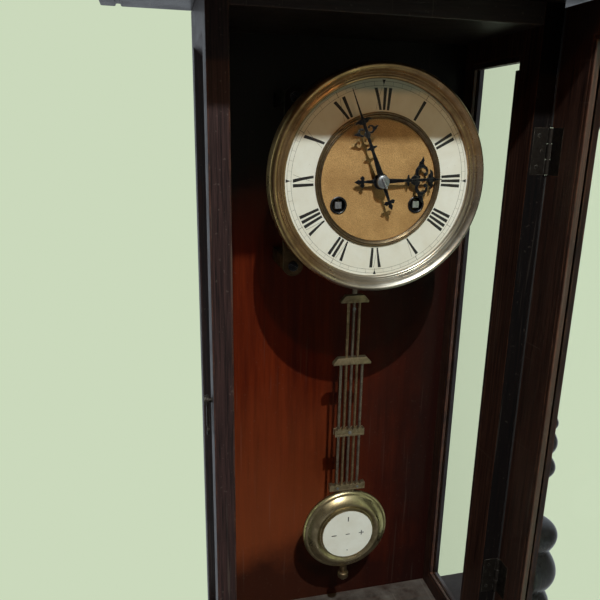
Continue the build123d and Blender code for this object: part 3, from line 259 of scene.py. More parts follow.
# stained wood under old varnish; a look says where it differs from the base
upright, sideways, inward = (1, 1, 0.028), (0.028, 1, 1), (1, 0.028, 1)
woodBase = dict(
    stretch=upright, scale=520.0, figure=0.45, wear=0.9, dust=0.3, rough=0.36, coat=0.2, bump=0.3, gloss=0.36,
    scratch=0.4, scratched=(0.2, 0.16, 0.13), dusty=(0.17, 0.15, 0.13))
woodLooks = {
    "caseUpright": dict(
        dark=(0.003, 0.002, 0.0024), light=(0.075, 0.036, 0.033), worn=(0.22, 0.085, 0.045), figure=0.35, wear=1.0,
        dust=0.35, rough=0.4, coat=0.08, bump=0.35, gloss=0.22),
    # the right frame has its own look: its wood, paler than the other uprights, is partly painted light, and its
    # blacked front faces are painted shade
    "caseRight": dict(
        dark=(0.008, 0.004, 0.0035), light=(0.11, 0.05, 0.036), worn=(0.2, 0.075, 0.036), dust=0.2, coat=0.12,
        gloss=0.06, scratch=0.15, front=(0.0022, 0.0022, 0.0024)),
    "caseLying": dict(
        stretch=sideways, dark=(0.0085, 0.0055, 0.005), light=(0.042, 0.021, 0.015), worn=(0.12, 0.048, 0.024),
        wear=0.75, dust=0.6),
    "doorRail": dict(
        stretch=inward, dark=(0.009, 0.0055, 0.005), light=(0.05, 0.022, 0.015), worn=(0.14, 0.055, 0.026),
        wear=0.85, dust=0.35, rough=0.34, coat=0.25),
    "doorUpright": dict(
        dark=(0.01, 0.005, 0.0045), light=(0.1, 0.04, 0.026), worn=(0.2, 0.075, 0.036), rough=0.34),
    "caseFloor": dict(
        stretch=sideways, dark=(0.01, 0.006, 0.005), light=(0.05, 0.022, 0.015), worn=(0.14, 0.05, 0.024),
        wear=0.75, dust=1.0),
    "backRed": dict(
        stretch=(1, 1, 0.05), scale=150.0, dark=(0.05, 0.0055, 0.0014), light=(0.132, 0.0165, 0.0036),
        worn=(0.14, 0.06, 0.03), figure=0.8, wear=0.2, rough=0.34, coat=0.03, bump=0.06, gloss=0.07, scratch=0.12,
        # the board's pale tint low on the left is painted light, its black at the top is a painted shadow of the top,
        # and its dark tint is painted shade towards the hinge side that also darkens the foot
        rightShadeFootDark=(0.007, 0.0032, 0.003), paintedTopShadow=(0.02, 0.018, 0.018), paintedLightPale=(0.2, 0.052, 0.018),
        right=(-0.02, 0.095, 0.0, 0.88), left=(-0.02, 0.05, 1.0, 0.0),
        heights=((-0.085, 0.0, 0.96), (-0.385, -0.43, 0.8), (-0.2, -0.36, 0.5))),
    # the bluish grey of the turned wood is partly a painted sheen of the room's light on ebonised wood
    "turnedDark": dict(
        stretch=(1, 1, 0.05), scale=420.0, dark=(0.027, 0.03, 0.037), light=(0.062, 0.067, 0.08),
        worn=(0.09, 0.07, 0.06), figure=0.4, wear=0.4, dust=0.25, rough=0.22, coat=0.7, bump=0.14),
}


# painted light: paler low down on the left; painted shade: darker towards the hinge side and black at the top, a
# painted shadow of the top; also darker towards the foot
def stainBoard(tree, look, colour):
    along = split(objectPoint(tree))
    drift = mulAdd(noise(objectPoint(tree), 14.0, 5, 0.6), 0.09, -0.045)
    across, height = (calc("ADD", along[axis], drift) for axis in "XZ")
    right, left = (span(across, *look[side]) for side in ("right", "left"))
    top, foot, paintedLight = (span(height, dialZ + start, dialZ + end, 0.0, share)
                       for start, end, share in look["heights"])
    colour = blend(mul(paintedLight, left), colour, look["paintedLightPale"])
    colour = blend(calc("MAXIMUM", right, foot), colour, look["rightShadeFootDark"])
    return blend(top, colour, look["paintedTopShadow"])


def makeWood(name, look):
    finish, tree, shader = newFinish(name, Coat_Roughness=0.18, Specular_IOR_Level=look["gloss"])
    grain = useGroup(tree, "WoodGrain", Stretch=look["stretch"], Scale=look["scale"], Dark=look["dark"],
                     Light=look["light"], Figure=look["figure"])
    edge = useGroup(tree, "EdgeWear", Radius=0.0022, Scale=70.0, Amount=look["wear"])["Mask"]
    dust = useGroup(tree, "DustFilm", Amount=look["dust"], Scale=45.0)["Mask"]
    scuff = useGroup(tree, "Scuffs", Scale=38.0, Amount=0.5)
    colour = blend(edge, grain["Color"], look["worn"])
    rough = mulAdd(grain["Streak"], 0.1, look["rough"])
    rough = mulAdd(scuff["Patch"], 0.22, rough)
    rough = mulAdd(dust, 0.35, rough)
    coat = mul(flip(calc("MAXIMUM", edge, scuff["Patch"])), look["coat"])
    if "front" in look:  # painted shade: blacked and dull on the faces to the front
        paintedFrontShade = span(split(faceNormal(tree))["Y"], -0.6, -0.85, 0.0, 0.95)
        colour = blend(paintedFrontShade, colour, look["front"])
        rough = mulAdd(paintedFrontShade, 0.35, rough)
        coat = mul(coat, flip(paintedFrontShade))
    if "heights" in look:
        colour = stainBoard(tree, look, colour)
    colour = blend(mul(scuff["Scratch"], look["scratch"]), colour, look["scratched"])
    colour = blend(mul(dust, 0.6), colour, look["dusty"])
    dress(shader, Base_Color=colour, Roughness=rough, Coat_Weight=coat)
    height = calc("SUBTRACT", grain["Height"], mul(scuff["Scratch"], 0.4))
    setBump(shader, height, look["bump"], 0.0006)
    return finish


finishes = {name: makeWood(name, {**woodBase, **look}) for name, look in woodLooks.items()}

# brasses, bronzes and steels, with rings of turning about a centre or lines along the height
metalBase = dict(
    rough=0.36, dulled=0.2, centre=(0, 0, 0), across=(0, 0, 1), rings=900.0, wear=0.4, bump=0.12,
    rubbed=(0.75, 0.7, 0.6), dusty=(0.2, 0.18, 0.15))
aboutDial = dict(centre=(dialX, 0, dialZ), across=(1, 0, 1))
allRound = dict(across=(1, 1, 1), dulled=0.25)
metalLooks = {
    "bezelBrass": dict(
        aboutDial, bright=(0.45, 0.29, 0.145), dull=(0.19, 0.112, 0.055), rough=0.2, scale=42.0, rings=1400.0,
        wear=0.35, bump=0.08, reflectionGrey=(0.47, 0.45, 0.4)),
    "ringBronze": dict(
        aboutDial, bright=(0.22, 0.155, 0.085), dull=(0.085, 0.055, 0.032), rough=0.3, scale=90.0, rings=1800.0,
        wear=0.6, bump=0.2),
    "bobBrass": dict(
        bright=(0.47, 0.395, 0.235), dull=(0.2, 0.155, 0.085), rough=0.2, scale=55.0, centre=(bobX, 0, bobZ),
        across=(1, 0, 1), rings=1300.0),
    "barBrass": dict(
        bright=(0.34, 0.27, 0.165), dull=(0.16, 0.12, 0.07), dulled=0.25, scale=120.0, rings=2600.0, wear=0.5,
        bump=0.15),
    "rodBrass": dict(bright=(0.29, 0.21, 0.125), dull=(0.13, 0.085, 0.05), dulled=0.25, scale=160.0, wear=0.2),
    "rodSteel": dict(bright=(0.25, 0.21, 0.17), dull=(0.12, 0.092, 0.07), dulled=0.25, scale=160.0, wear=0.2),
    "movementBrass": dict(
        bright=(0.6, 0.45, 0.2), dull=(0.36, 0.25, 0.11), rough=0.3, scale=70.0, rings=1500.0, bump=0.1),
    "bracketBronze": dict(
        allRound, bright=(0.2, 0.12, 0.055), dull=(0.075, 0.042, 0.02), rough=0.42, scale=120.0, rings=700.0,
        wear=0.6, bump=0.3, bracketShade=(0.011, 0.0105, 0.0105)),
    "brightSteel": dict(
        aboutDial, bright=(0.62, 0.63, 0.65), dull=(0.36, 0.36, 0.37), rough=0.2, scale=140.0, rings=2200.0, bump=0.1),
    "nutSteel": dict(
        aboutDial, bright=(0.29, 0.3, 0.32), dull=(0.17, 0.165, 0.165), scale=140.0, rings=2200.0, bump=0.1),
    "gongSteel": dict(
        bright=(0.25, 0.27, 0.33), dull=(0.1, 0.1, 0.12), rough=0.3, dulled=0.25, scale=110.0, across=(1, 0, 1),
        wear=0.3, bump=0.1),
    "darkIron": dict(
        allRound, bright=(0.05, 0.043, 0.037), dull=(0.02, 0.015, 0.012), rough=0.42, scale=150.0, rings=800.0,
        wear=0.7, bump=0.3),
    "blackHand": dict(
        bright=(0.028, 0.028, 0.034), dull=(0.012, 0.011, 0.012), rough=0.3, scale=160.0, across=(1, 1, 1), wear=0.6,
        bump=0.14),
}


def makeMetal(name, look):
    finish, tree, shader = newFinish(name, Metallic=1.0)
    old = useGroup(tree, "Tarnish", Scale=look["scale"], Bright=look["bright"], Dull=look["dull"], Specks=0.35)
    rings = useGroup(tree, "TurnedRings", Centre=look["centre"], Across=look["across"], Scale=look["rings"])["Height"]
    edge = useGroup(tree, "EdgeWear", Radius=0.0007, Scale=220.0, Amount=look["wear"])["Mask"]
    dust = useGroup(tree, "DustFilm", Amount=0.35, Scale=90.0)["Mask"]
    rubbed = [(bright + pale) / 2 for bright, pale in zip(look["bright"], look["rubbed"])]
    colour = blend(edge, old["Color"], rubbed)
    if "reflectionGrey" in look:  # painted reflection: the brass turns grey towards the lower right
        along = split(objectPoint(tree))
        height = mulAdd(old["Height"], 0.05, mulAdd(along["X"], -0.6, along["Z"]))
        colour = blend(span(height, dialZ, dialZ - 0.06, 0.0, 0.8), colour, look["reflectionGrey"])
    if "bracketShade" in look:  # painted shade: blackened, most of all above the middle of the dial
        height = split(objectPoint(tree))["Z"]
        colour = blend(span(height, dialZ - 0.1, dialZ, 0.35, 0.95), colour, look["bracketShade"])
    colour = blend(mul(dust, 0.4), colour, look["dusty"])
    rough = mulAdd(old["Dulled"], look["dulled"], look["rough"])
    rough = mulAdd(rings, 0.08, rough)
    rough = mulAdd(dust, 0.3, rough)
    dress(shader, Base_Color=colour, Roughness=rough)
    setBump(shader, mulAdd(old["Height"], 0.6, rings), look["bump"], 0.0003)
    return finish


for name, look in metalLooks.items():
    finishes[name] = makeMetal(name, {**metalBase, **look})

# ivory and dial ink
paintLooks = {
    "dialIvory": dict(
        clean=(0.79, 0.765, 0.68), aged=(0.64, 0.58, 0.45), rough=0.34, scale=34.0, bump=0.05, stain=0.55),
    "bobIvory": dict(
        clean=(0.82, 0.81, 0.74), aged=(0.68, 0.64, 0.53), rough=0.28, scale=60.0, bump=0.04, stain=0.45),
    "dialInk": dict(
        clean=(0.012, 0.011, 0.011), aged=(0.035, 0.03, 0.026), rough=0.42, scale=160.0, bump=0.08, stain=0.6),
    "fadedInk": dict(
        clean=(0.1, 0.085, 0.065), aged=(0.34, 0.3, 0.23), rough=0.45, scale=240.0, bump=0.05, stain=1.0),
}


def makePaint(name, look):
    finish, tree, shader = newFinish(name, Specular_IOR_Level=0.4)
    point = objectPoint(tree)
    cloud = span(noise(point, look["scale"], 6, 0.65, 0.4), 0.38, 0.7)
    fleck = span(noise(point, look["scale"] * 26, 2), 0.7, 0.76)
    scuff = useGroup(tree, "Scuffs", Scale=70.0, Amount=0.35)
    dust = useGroup(tree, "DustFilm", Amount=0.2, Scale=60.0)["Mask"]
    colour = blend(mul(cloud, look["stain"]), look["clean"], look["aged"])
    colour = blend(mul(fleck, 0.25), colour, (0.2, 0.15, 0.1))
    colour = blend(mul(scuff["Scratch"], 0.2), colour, look["aged"])
    rough = mulAdd(dust, 0.4, mulAdd(scuff["Patch"], 0.25, look["rough"]))
    dress(shader, Base_Color=colour, Roughness=rough)
    setBump(shader, calc("SUBTRACT", cloud, scuff["Scratch"]), look["bump"], 0.0003)
    return finish


for name, look in paintLooks.items():
    finishes[name] = makePaint(name, look)

# grained gilt of the dial's centre
giltLook = dict(bright=(0.66, 0.385, 0.15), dull=(0.46, 0.25, 0.088), deep=(0.22, 0.115, 0.04), grain=1500.0)


def makeGilt(name, look):
    finish, tree, shader = newFinish(name, Metallic=0.3)
    point = objectPoint(tree)
    old = useGroup(tree, "Tarnish", Scale=55.0, Bright=look["bright"], Dull=look["dull"], Specks=0.15)
    grit = noise(point, look["grain"], 3, 0.7)
    cells = follow("ShaderNodeTexVoronoi", {"Vector": point, "Scale": look["grain"] * 0.4})["Distance"]
    colour = blend(span(grit, 0.42, 0.62, 0.0, 0.7), old["Color"], look["deep"])
    dress(shader, Base_Color=colour, Roughness=span(grit, 0.3, 0.7, 0.4, 0.62))
    setBump(shader, calc("ADD", grit, cells), 0.35, 0.0003)
    return finish


# panes with faint smears, scratches and dust; bend is the index of refraction
glassLooks = {"sideGlass": dict(bend=1.45), "doorGlass": dict(bend=1.1)}


def makeGlass(name, look):
    finish, tree, shader = newFinish(name, Transmission_Weight=1.0, IOR=look["bend"], Metallic=0.0)
    point = objectPoint(tree)
    smear = span(noise(point, 16.0, 5, 0.6, 1.2), 0.45, 0.8)
    scuff = useGroup(tree, "Scuffs", Scale=30.0, Amount=0.4)
    dust = span(noise(point, 900.0, 2), 0.7, 0.78)
    colour = blend(mul(dust, 0.06), (0.99, 0.995, 0.99), (0.6, 0.6, 0.55))
    rough = mulAdd(scuff["Scratch"], 0.02, mulAdd(smear, 0.02, 0.005))
    dress(shader, Base_Color=colour, Roughness=rough)
    setBump(shader, noise(point, 7.0, 2), 0.02, 0.001)
    return finish


finishes["dialGilt"] = makeGilt("dialGilt", giltLook)
for name, look in glassLooks.items():
    finishes[name] = makeGlass(name, look)
print("finishes made:", len(finishes))


# mesh helpers, all in the row frame
def addObject(name, data):
    added = bpy.data.objects.new(name, data)
    bpy.context.scene.collection.objects.link(added)
    return added


def place(name, mesh, finish, node, replaced=(), smooth=35.0):
    mesh.name = name
    mesh.polygons.foreach_set("use_smooth", [True] * len(mesh.polygons))
    mesh.set_sharp_from_angle(angle=math.radians(smooth))
    piece = addObject(name, mesh)
    mesh.materials.clear()
    mesh.materials.append(finishes[finish])
    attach(piece, nodeBody[node])
    if replaced:
        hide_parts(*replaced)
    return piece


def gather(meshes):
    made = bmesh.new()
    for mesh in meshes:
        made.from_mesh(mesh)
        bpy.data.meshes.remove(mesh)
    whole = bpy.data.meshes.new("part")
    made.to_mesh(whole)
    made.free()
    return whole


def fromBmesh(made):
    bmesh.ops.recalc_face_normals(made, faces=made.faces)
    mesh = bpy.data.meshes.new("part")
    made.to_mesh(mesh)
    made.free()
    return mesh


def shift(x, y, z):
    return Matrix.Translation((x * mm, y * mm, z * mm))


def spin(angle, axis="Z"):
    return Matrix.Rotation(math.radians(angle), 4, axis)


# a seat that faces the front: its x right, y up, z towards the viewer
def frontSeat(x, y, z):
    return Matrix(((1, 0, 0, x), (0, 0, -1, y), (0, 1, 0, z), (0, 0, 0, 1)))


# a turning: (radius, height) pairs round the seat's z axis; ripple gives growth and lift by profile index and side
def turning(profile, seat, sides=64, closed=False, ripple=None):
    made = bmesh.new()
    rings = []
    for index, (radius, height) in enumerate(profile):
        if radius < 1e-6:
            rings.append([made.verts.new(seat @ Vector((0, 0, height * mm)))])
            continue
        ring = []
        for side in range(sides):
            angle = 2 * math.pi * side / sides
            grown, lift = ripple(index, side) if ripple else (0.0, 0.0)
            reach = (radius + grown) * mm
            point = Vector((reach * math.cos(angle), reach * math.sin(angle), (height + lift) * mm))
            ring.append(made.verts.new(seat @ point))
        rings.append(ring)
    pairs = list(zip(rings, rings[1:]))
    if closed:
        pairs.append((rings[-1], rings[0]))
    for low, high in pairs:
        for side in range(sides):
            beside = (side + 1) % sides
            corners = [low[side % len(low)], low[beside % len(low)], high[beside % len(high)], high[side % len(high)]]
            unique = list(dict.fromkeys(corners))
            if len(unique) > 2:
                made.faces.new(unique)
    if not closed:
        for end in (rings[0], rings[-1]):
            if len(end) > 2:
                made.faces.new(end)
    return fromBmesh(made)


# every other side grown or lifted, from the first to the last profile index
def milling(first, last, grow=0.0, lift=0.0):
    return lambda index, side: (grow, lift) if side % 2 and first <= index <= last else (0.0, 0.0)


# a flat plate cut to outlines in mm, with a softened edge; even-odd outlines make holes
def cutPlate(outlines, low, high, seat, soften=0.12):
    curve = bpy.data.curves.new("cut", "CURVE")
    curve.dimensions = "2D"
    curve.fill_mode = "BOTH"
    curve.extrude = ((high - low) / 2 - soften) * mm
    curve.bevel_depth = soften * mm
    curve.offset = -soften * mm
    curve.bevel_resolution = 1
    for outline in outlines:
        spline = curve.splines.new("POLY")
        spline.points.add(len(outline) - 1)
        for point, (x, y) in zip(spline.points, outline):
            point.co = (x * mm, y * mm, 0, 1)
        spline.use_cyclic_u = True
    cut = addObject("cut", curve)
    bpy.context.view_layer.update()
    mesh = bpy.data.meshes.new_from_object(cut.evaluated_get(bpy.context.evaluated_depsgraph_get()))
    mesh.transform(seat @ shift(0, 0, (low + high) / 2))
    bpy.data.objects.remove(cut)
    bpy.data.curves.remove(curve)
    made = bmesh.new()
    made.from_mesh(mesh)
    bpy.data.meshes.remove(mesh)
    bmesh.ops.remove_doubles(made, verts=made.verts, dist=1e-7)
    return fromBmesh(made)


def arcPoints(x, y, radius, start, end, count):
    turns = [math.radians(start + (end - start) * step / (count - 1)) for step in range(count)]
    return [(x + radius * math.cos(turn), y + radius * math.sin(turn)) for turn in turns]


def roundOutline(x, y, radius, count):
    return arcPoints(x, y, radius, 0, 360 - 360 / count, count)


# a slotted screw head on a seat whose z points out of the surface; shares of its radius and of its rise
screwShape = dict(slot=0.16, rim=0.9, face=0.96, side=0.45, foot=0.5, cut=0.4, soften=0.14)


def slottedScrew(seat, radius, rise, turn, shape=screwShape):
    lean = math.degrees(math.asin(shape["slot"]))
    turned = seat @ spin(turn)
    foot = turning([(0, 0), (radius, 0), (radius, rise * shape["side"]), (radius * shape["rim"], rise * shape["foot"]),
                    (0, rise * shape["foot"])], turned, 28)
    halves = [arcPoints(0, 0, radius * shape["face"], start + lean, start + 180 - lean, 16) for start in (0, 180)]
    return [foot] + [cutPlate([half], rise * shape["cut"], rise, turned, rise * shape["soften"]) for half in halves]


# a softened copy of a CAD board or fitting; weld in metres, flat in degrees
softShape = dict(weld=2e-6, flat=1.5, segments=2, profile=0.5)


def softCopy(node, width, angle, shape=softShape):
    mesh = frame["nodes"][node].data.copy()
    for layer in ("custom_normal", "sharp_edge", "sharp_face"):
        if layer in mesh.attributes:
            mesh.attributes.remove(mesh.attributes[layer])
    made = bmesh.new()
    made.from_mesh(mesh)
    bpy.data.meshes.remove(mesh)
    bmesh.ops.remove_doubles(made, verts=made.verts, dist=shape["weld"])
    bmesh.ops.dissolve_limit(made, angle_limit=math.radians(shape["flat"]), verts=made.verts, edges=made.edges)
    hard = [edge for edge in made.edges if edge.is_manifold and edge.calc_face_angle() > math.radians(angle)]
    bmesh.ops.bevel(made, geom=hard, offset=width * mm, segments=shape["segments"], profile=shape["profile"],
                    affect="EDGES", clamp_overlap=True)
    bmesh.ops.remove_doubles(made, verts=made.verts, dist=shape["weld"])
    return fromBmesh(made)


# boards and fittings that keep their CAD shape with eased edges: finish, edge in mm, least angle
boardLooks = {
    "back_board": ("backRed", 0.5, 28), "left_side_frame": ("caseUpright", 0.9, 28),
    "right_side_frame": ("caseRight", 0.2, 28), "top_board": ("caseLying", 0.6, 28),
    "bottom_board": ("caseFloor", 0.6, 28), "side_glass_beads": ("caseUpright", 0.5, 28),
    "cornice": ("caseLying", 1.0, 40), "crest_board": ("caseLying", 1.4, 40),
    "base_moulding": ("caseLying", 1.0, 40), "base_console": ("caseLying", 1.4, 40),
    "door_stiles": ("doorUpright", 0.2, 28), "door_rails": ("doorRail", 1.0, 28),
    "door_beads": ("doorUpright", 0.6, 28), "hanger_plate": ("darkIron", 0.3, 40),
    "case_hinges": ("darkIron", 0.2, 50), "door_hinges": ("darkIron", 0.2, 50), "latch_hook": ("darkIron", 0.3, 50),
    "movement_bracket": ("bracketBronze", 0.8, 50), "front_plate": ("movementBrass", 0.25, 50),
    "back_plate": ("movementBrass", 0.25, 50), "time_winding_arbor": ("brightSteel", 0.25, 50),
    "strike_winding_arbor": ("brightSteel", 0.25, 50), "suspension_cock": ("movementBrass", 0.4, 50),
    "pendulum_hook": ("rodSteel", 0.3, 50), "strike_hammer": ("brightSteel", 0.3, 50),
    "gong_block": ("bracketBronze", 0.5, 50),
}
for node, (finish, width, angle) in boardLooks.items():
    piece = place(node + "_soft", softCopy(node, width, angle), finish, node, (node,), 50.0)
    piece.modifiers.new("evenFaces", "WEIGHTED_NORMAL").keep_sharp = True

# nodes shown as they are, by finish
keptLooks = {
    "sideGlass": ["side_glass"], "doorGlass": ["door_glass"], "dialIvory": ["chapter_ring"],
    "dialGilt": ["centre_disc"], "bobIvory": ["bob_disc"], "brightSteel": ["pillars", "anchor"],
    "rodSteel": ["suspension_spring"], "darkIron": ["latch_screw", "latch_stud"],
    "movementBrass": ["time_barrel", "strike_barrel", "centre_wheel", "third_wheel", "escape_wheel", "cannon_pinion",
                      "minute_wheel", "hour_wheel"],
}
for finish, nodes in keptLooks.items():
    for node in nodes:
        materials = frame["nodes"][node].data.materials
        materials.clear()
        materials.append(finishes[finish])
print("boards and fittings placed")

dialSeat = frontSeat(dialX, dialY, dialZ)

bezelShape = dict(
    sides=192, milled=240, dip=-0.28, rope=[(77.3, 2.4), (77.5, 2.85), (77.9, 3.0), (78.3, 2.95), (78.5, 2.6)],
    profile=[
        (75.0, 0.15), (75.0, 1.6), (75.5, 2.6), (76.4, 3.0), (77.2, 2.9), (77.7, 2.5), (78.2, 2.6), (78.8, 3.5),
        (79.3, 4.1), (79.6, 4.0), (79.9, 4.1), (80.4, 5.2), (81.4, 6.6), (82.3, 7.3), (82.6, 7.1), (82.9, 7.25),
        (83.5, 7.85), (84.3, 7.95), (85.3, 7.3), (86.0, 6.3), (86.2, 5.6), (86.4, 5.4), (86.85, 4.3), (87.0, 2.4),
        (87.0, -10.0), (84.3, -10.0), (84.3, 0.15)])


def makeBezel(shape):
    body = turning(shape["profile"], dialSeat, shape["sides"], True)
    rope = turning(shape["rope"], dialSeat, 2 * shape["milled"], True, milling(1, 3, lift=shape["dip"]))
    place("bezel_turned", gather([body, rope]), "bezelBrass", "bezel", ("bezel",), 40.0)


makeBezel(bezelShape)

beadShape = dict(milled=190, dip=-0.4, profile=[
    (46.5, 0.0), (46.6, 0.7), (47.1, 1.15), (47.6, 0.8), (48.1, 1.25), (48.8, 1.8), (49.5, 1.45), (49.8, 0.95),
    (50.2, 1.35), (50.7, 1.5), (51.2, 1.2), (51.5, 0.0)])


def makeBeadRing(shape):
    rope = turning(shape["profile"], dialSeat, 2 * shape["milled"], True, milling(8, 10, lift=shape["dip"]))
    place("bead_ring", rope, "ringBronze", "centre_ring", ("centre_ring",), 50.0)


makeBeadRing(beadShape)

# the black funnel of each eyelet, reaching into the winding hole, is painted shade that hides the brass behind
grommetShape = dict(radius=6.15, profile=[
    (6.15, -3.0), (6.15, 0.02), (6.75, 0.02), (6.75, 0.25), (6.4, 0.5), (5.75, 0.62), (5.4, 0.45), (4.9, -1.2),
    (4.1, -2.6), (4.1, -3.0)])


def makeGrommets(shape):
    low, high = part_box("winding_grommets")
    reach = (high.x - low.x) / mm / 2 - shape["radius"]
    rise = ((low.z + high.z) / 2 - dialZ) / mm
    rings = [turning(shape["profile"], dialSeat @ shift(end * reach, rise, 0), 48, True) for end in (1, -1)]
    place("winding_eyelets", gather(rings), "blackHand", "winding_grommets", ("winding_grommets",))


makeGrommets(grommetShape)

# printed numerals and the minute track, standing slightly proud; a tick is its width and its reach from and to
numeralShape = dict(
    inner=52.6, outer=68.6, reference=62.0, proud=0.06, thin=0.8, track=(70.0, 73.1), line=0.24, tickProud=0.7,
    tickReference=71, hourTick=(0.3, 69.4, 74.0), minuteTick=(0.14, 70.0, 73.1),
    quarter=((0.0025, 71.0), (0.017, 74.1)))
# advance, then thick and thin strokes as x at lower left, lower right, upper right and upper left
glyphs = {
    "I": (3.7, [(-1.15, 1.15, 1.15, -1.15)], []),
    "V": (6.0, [(-0.6, 0.8, -0.7, -3.0)], [(0.4, 0.6, 2.75, 2.5)]),
    "X": (6.4, [(0.7, 2.95, -0.7, -2.95)], [(-2.65, -2.42, 2.65, 2.42)]),
}
numerals = "XII I II III IIII V VI VII VIII IX X XI".split()


def dialPoint(angle, reach, rise):
    return dialSeat @ Vector((reach * mm * math.sin(angle), reach * mm * math.cos(angle), rise * mm))


def raisedStrip(made, lower, upper, rise):
    rows = []
    for low, high in zip(lower, upper):
        corners = ((*low, 0.0), (*low, rise), (*high, rise), (*high, 0.0))
        rows.append([made.verts.new(dialPoint(*corner)) for corner in corners])
    for first, second in zip(rows, rows[1:]):
        for corner in range(3):
            made.faces.new((first[corner], second[corner], second[corner + 1], first[corner + 1]))
    made.faces.new(rows[0])
    made.faces.new(list(reversed(rows[-1])))


def stroke(made, corners, angle, shape, rise, steps=4):
    left = []
    right = []
    for step in range(steps + 1):
        share = step / steps
        reach = shape["inner"] + (shape["outer"] - shape["inner"]) * share
        start = corners[0] + (corners[3] - corners[0]) * share
        end = corners[1] + (corners[2] - corners[1]) * share
        left.append((angle + start / shape["reference"], reach))
        right.append((angle + end / shape["reference"], reach))
    raisedStrip(made, left, right, rise)


# a mark along the radius: half its angle and its reach at each end
def radialMark(made, angle, ends, rise):
    sides = [[(angle + way * half, reach) for half, reach in ends] for way in (-1, 1)]
    raisedStrip(made, *sides, rise)


def circleLine(made, reach, width, rise, count=240):
    turns = [2 * math.pi * step / count for step in range(count + 1)]
    sides = [[(turn, reach + way * width / 2) for turn in turns] for way in (-1, 1)]
    raisedStrip(made, *sides, rise)


def makeNumerals(shape):
    bold = bmesh.new()
    faint = bmesh.new()
    proud = shape["proud"]
    for hour, word in enumerate(numerals):
        along = -sum(glyphs[letter][0] for letter in word) / 2
        for letter in word:
            advance, thick, thin = glyphs[letter]
            angle = math.radians(30 * hour) + (along + advance / 2) / shape["reference"]
            for corners in thick:
                stroke(bold, corners, angle, shape, proud)
            for corners in thin:
                stroke(faint, corners, angle, shape, proud * shape["thin"])
            along += advance
    for reach in shape["track"]:
        circleLine(faint, reach, shape["line"], proud * shape["thin"])
    for minute in range(60):
        angle = math.radians(6 * minute)
        hourly = minute % 5 == 0
        wide, low, high = shape["hourTick" if hourly else "minuteTick"]
        half = wide / 2 / shape["tickReference"]
        radialMark(bold if hourly else faint, angle, ((half, low), (half, high)), proud * shape["tickProud"])
        if minute % 15 == 0:
            radialMark(bold, angle, shape["quarter"], proud)
    place("dial_numerals", fromBmesh(bold), "dialInk", "chapter_ring", (), 20.0)
    place("dial_track", fromBmesh(faint), "fadedInk", "chapter_ring", (), 20.0)


makeNumerals(numeralShape)
print("dial dressed")

# pierced hands: y runs to the point, x across, in mm from the arbor
handShapes = {
    "hour_hand": dict(turn=88.17, hub=6.2, bore=2.46, shaft=2.1, neck=1.0, cross=22.6, ring=33.6, second=42.0,
                      length=51.0, tail=21.5, point=0.75, spread=1.0, crown=1.0),
    "minute_hand": dict(turn=338.0, hub=5.2, bore=1.55, shaft=2.6, neck=0.9, cross=26.8, ring=40.0, second=48.0,
                        length=72.0, tail=23.5, point=0.7, spread=0.58, crown=0.85),
}
handLeaves = dict(
    ring=((9.6, -3.6), (12.2, -2.5), (13.6, -2.3), (14.6, -0.9), (18.0, 0.9), (15.0, 1.9), (13.2, 1.4), (11.6, 2.0),
          (9.6, 3.0)),
    lower=((0.6, -9.4), (2.6, -8.2), (4.0, -5.8), (3.2, -3.4), (0.6, -1.8)),
    crown=((0.6, -4.6), (2.0, -3.0), (4.0, -2.6), (5.2, -1.2), (8.0, -1.6), (6.6, 0.6), (4.4, 1.4), (2.4, 1.2),
           (0.6, 3.4)))
# scrolls as shares of their reach, and the dot beside each
scrollShape = dict(start=-165, sweep=290, thin=0.2, swell=0.34, lead=0.1, out=6.3, reach=5.4, dot=(4.4, 3.3, 1.5))


# how far a piece of the dial stands out, from and to, in mm before the dial face
def dialSpan(node):
    low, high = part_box(node)
    return (dialY - high.y) / mm, (dialY - low.y) / mm


def scrollOutline(x, y, reach, side, shape=scrollShape, steps=24):
    outer = []
    inner = []
    lead = shape["lead"]
    for step in range(steps + 1):
        share = step / steps
        turn = math.radians(shape["start"] + shape["sweep"] * share)
        thick = reach * (shape["thin"] + shape["swell"] * math.sin(math.pi * min(1.0, lead + share * (1 - lead))))
        outer.append((x + side * reach * math.cos(turn), y + reach * math.sin(turn)))
        inner.append((x + side * (reach - thick) * math.cos(turn), y + (reach - thick) * math.sin(turn)))
    return outer + list(reversed(inner))


def mirrored(half, *tip):
    return [*half, *tip, *((-x, y) for x, y in reversed(half))]


def leafOutline(points, height, side, grow):
    return [(side * x * grow, height + y * grow) for x, y in points]


def handOutlines(shape):
    cross, ring, second, tail, spread = (shape[key] for key in ("cross", "ring", "second", "tail", "spread"))
    flower = mirrored([(-1.9, 3.2), (-1.2, 5.4), (-3.0, 4.6), (-4.8, 6.6), (-3.0, 8.2), (-1.0, 7.8)], (0, 9.6))
    parts = [
        mirrored([(-shape["shaft"], 3), (-shape["neck"], cross), (-1.15, ring - 6), (-1.1, second),
                  (-shape["point"], second + 4), (-0.2, shape["length"])]),
        mirrored([(0.9, cross - 3.0), (1.6, cross - 1.2), (4.3, cross - 0.4), (4.3, cross + 0.5), (1.6, cross + 1.1),
                  (0.9, cross + 3.2)]),
        mirrored([(-1.7, -3), (-1.0, 8 - tail)]),
        [(x, y - tail) for x, y in [(0, 0), *flower]],
    ]
    out, reach = scrollShape["out"], scrollShape["reach"]
    dotOut, dotRise, dotRadius = scrollShape["dot"]
    for side in (1, -1):
        parts.append(scrollOutline(side * out * spread, ring, reach * spread, side))
        parts.append(roundOutline(side * dotOut * spread, ring + dotRise * spread, dotRadius * spread, 16))
        parts.append(leafOutline(handLeaves["ring"], ring, side, spread))
        parts.append(leafOutline(handLeaves["lower"], ring, side, spread))
        parts.append(leafOutline(handLeaves["crown"], second, side, shape["crown"]))
    return parts


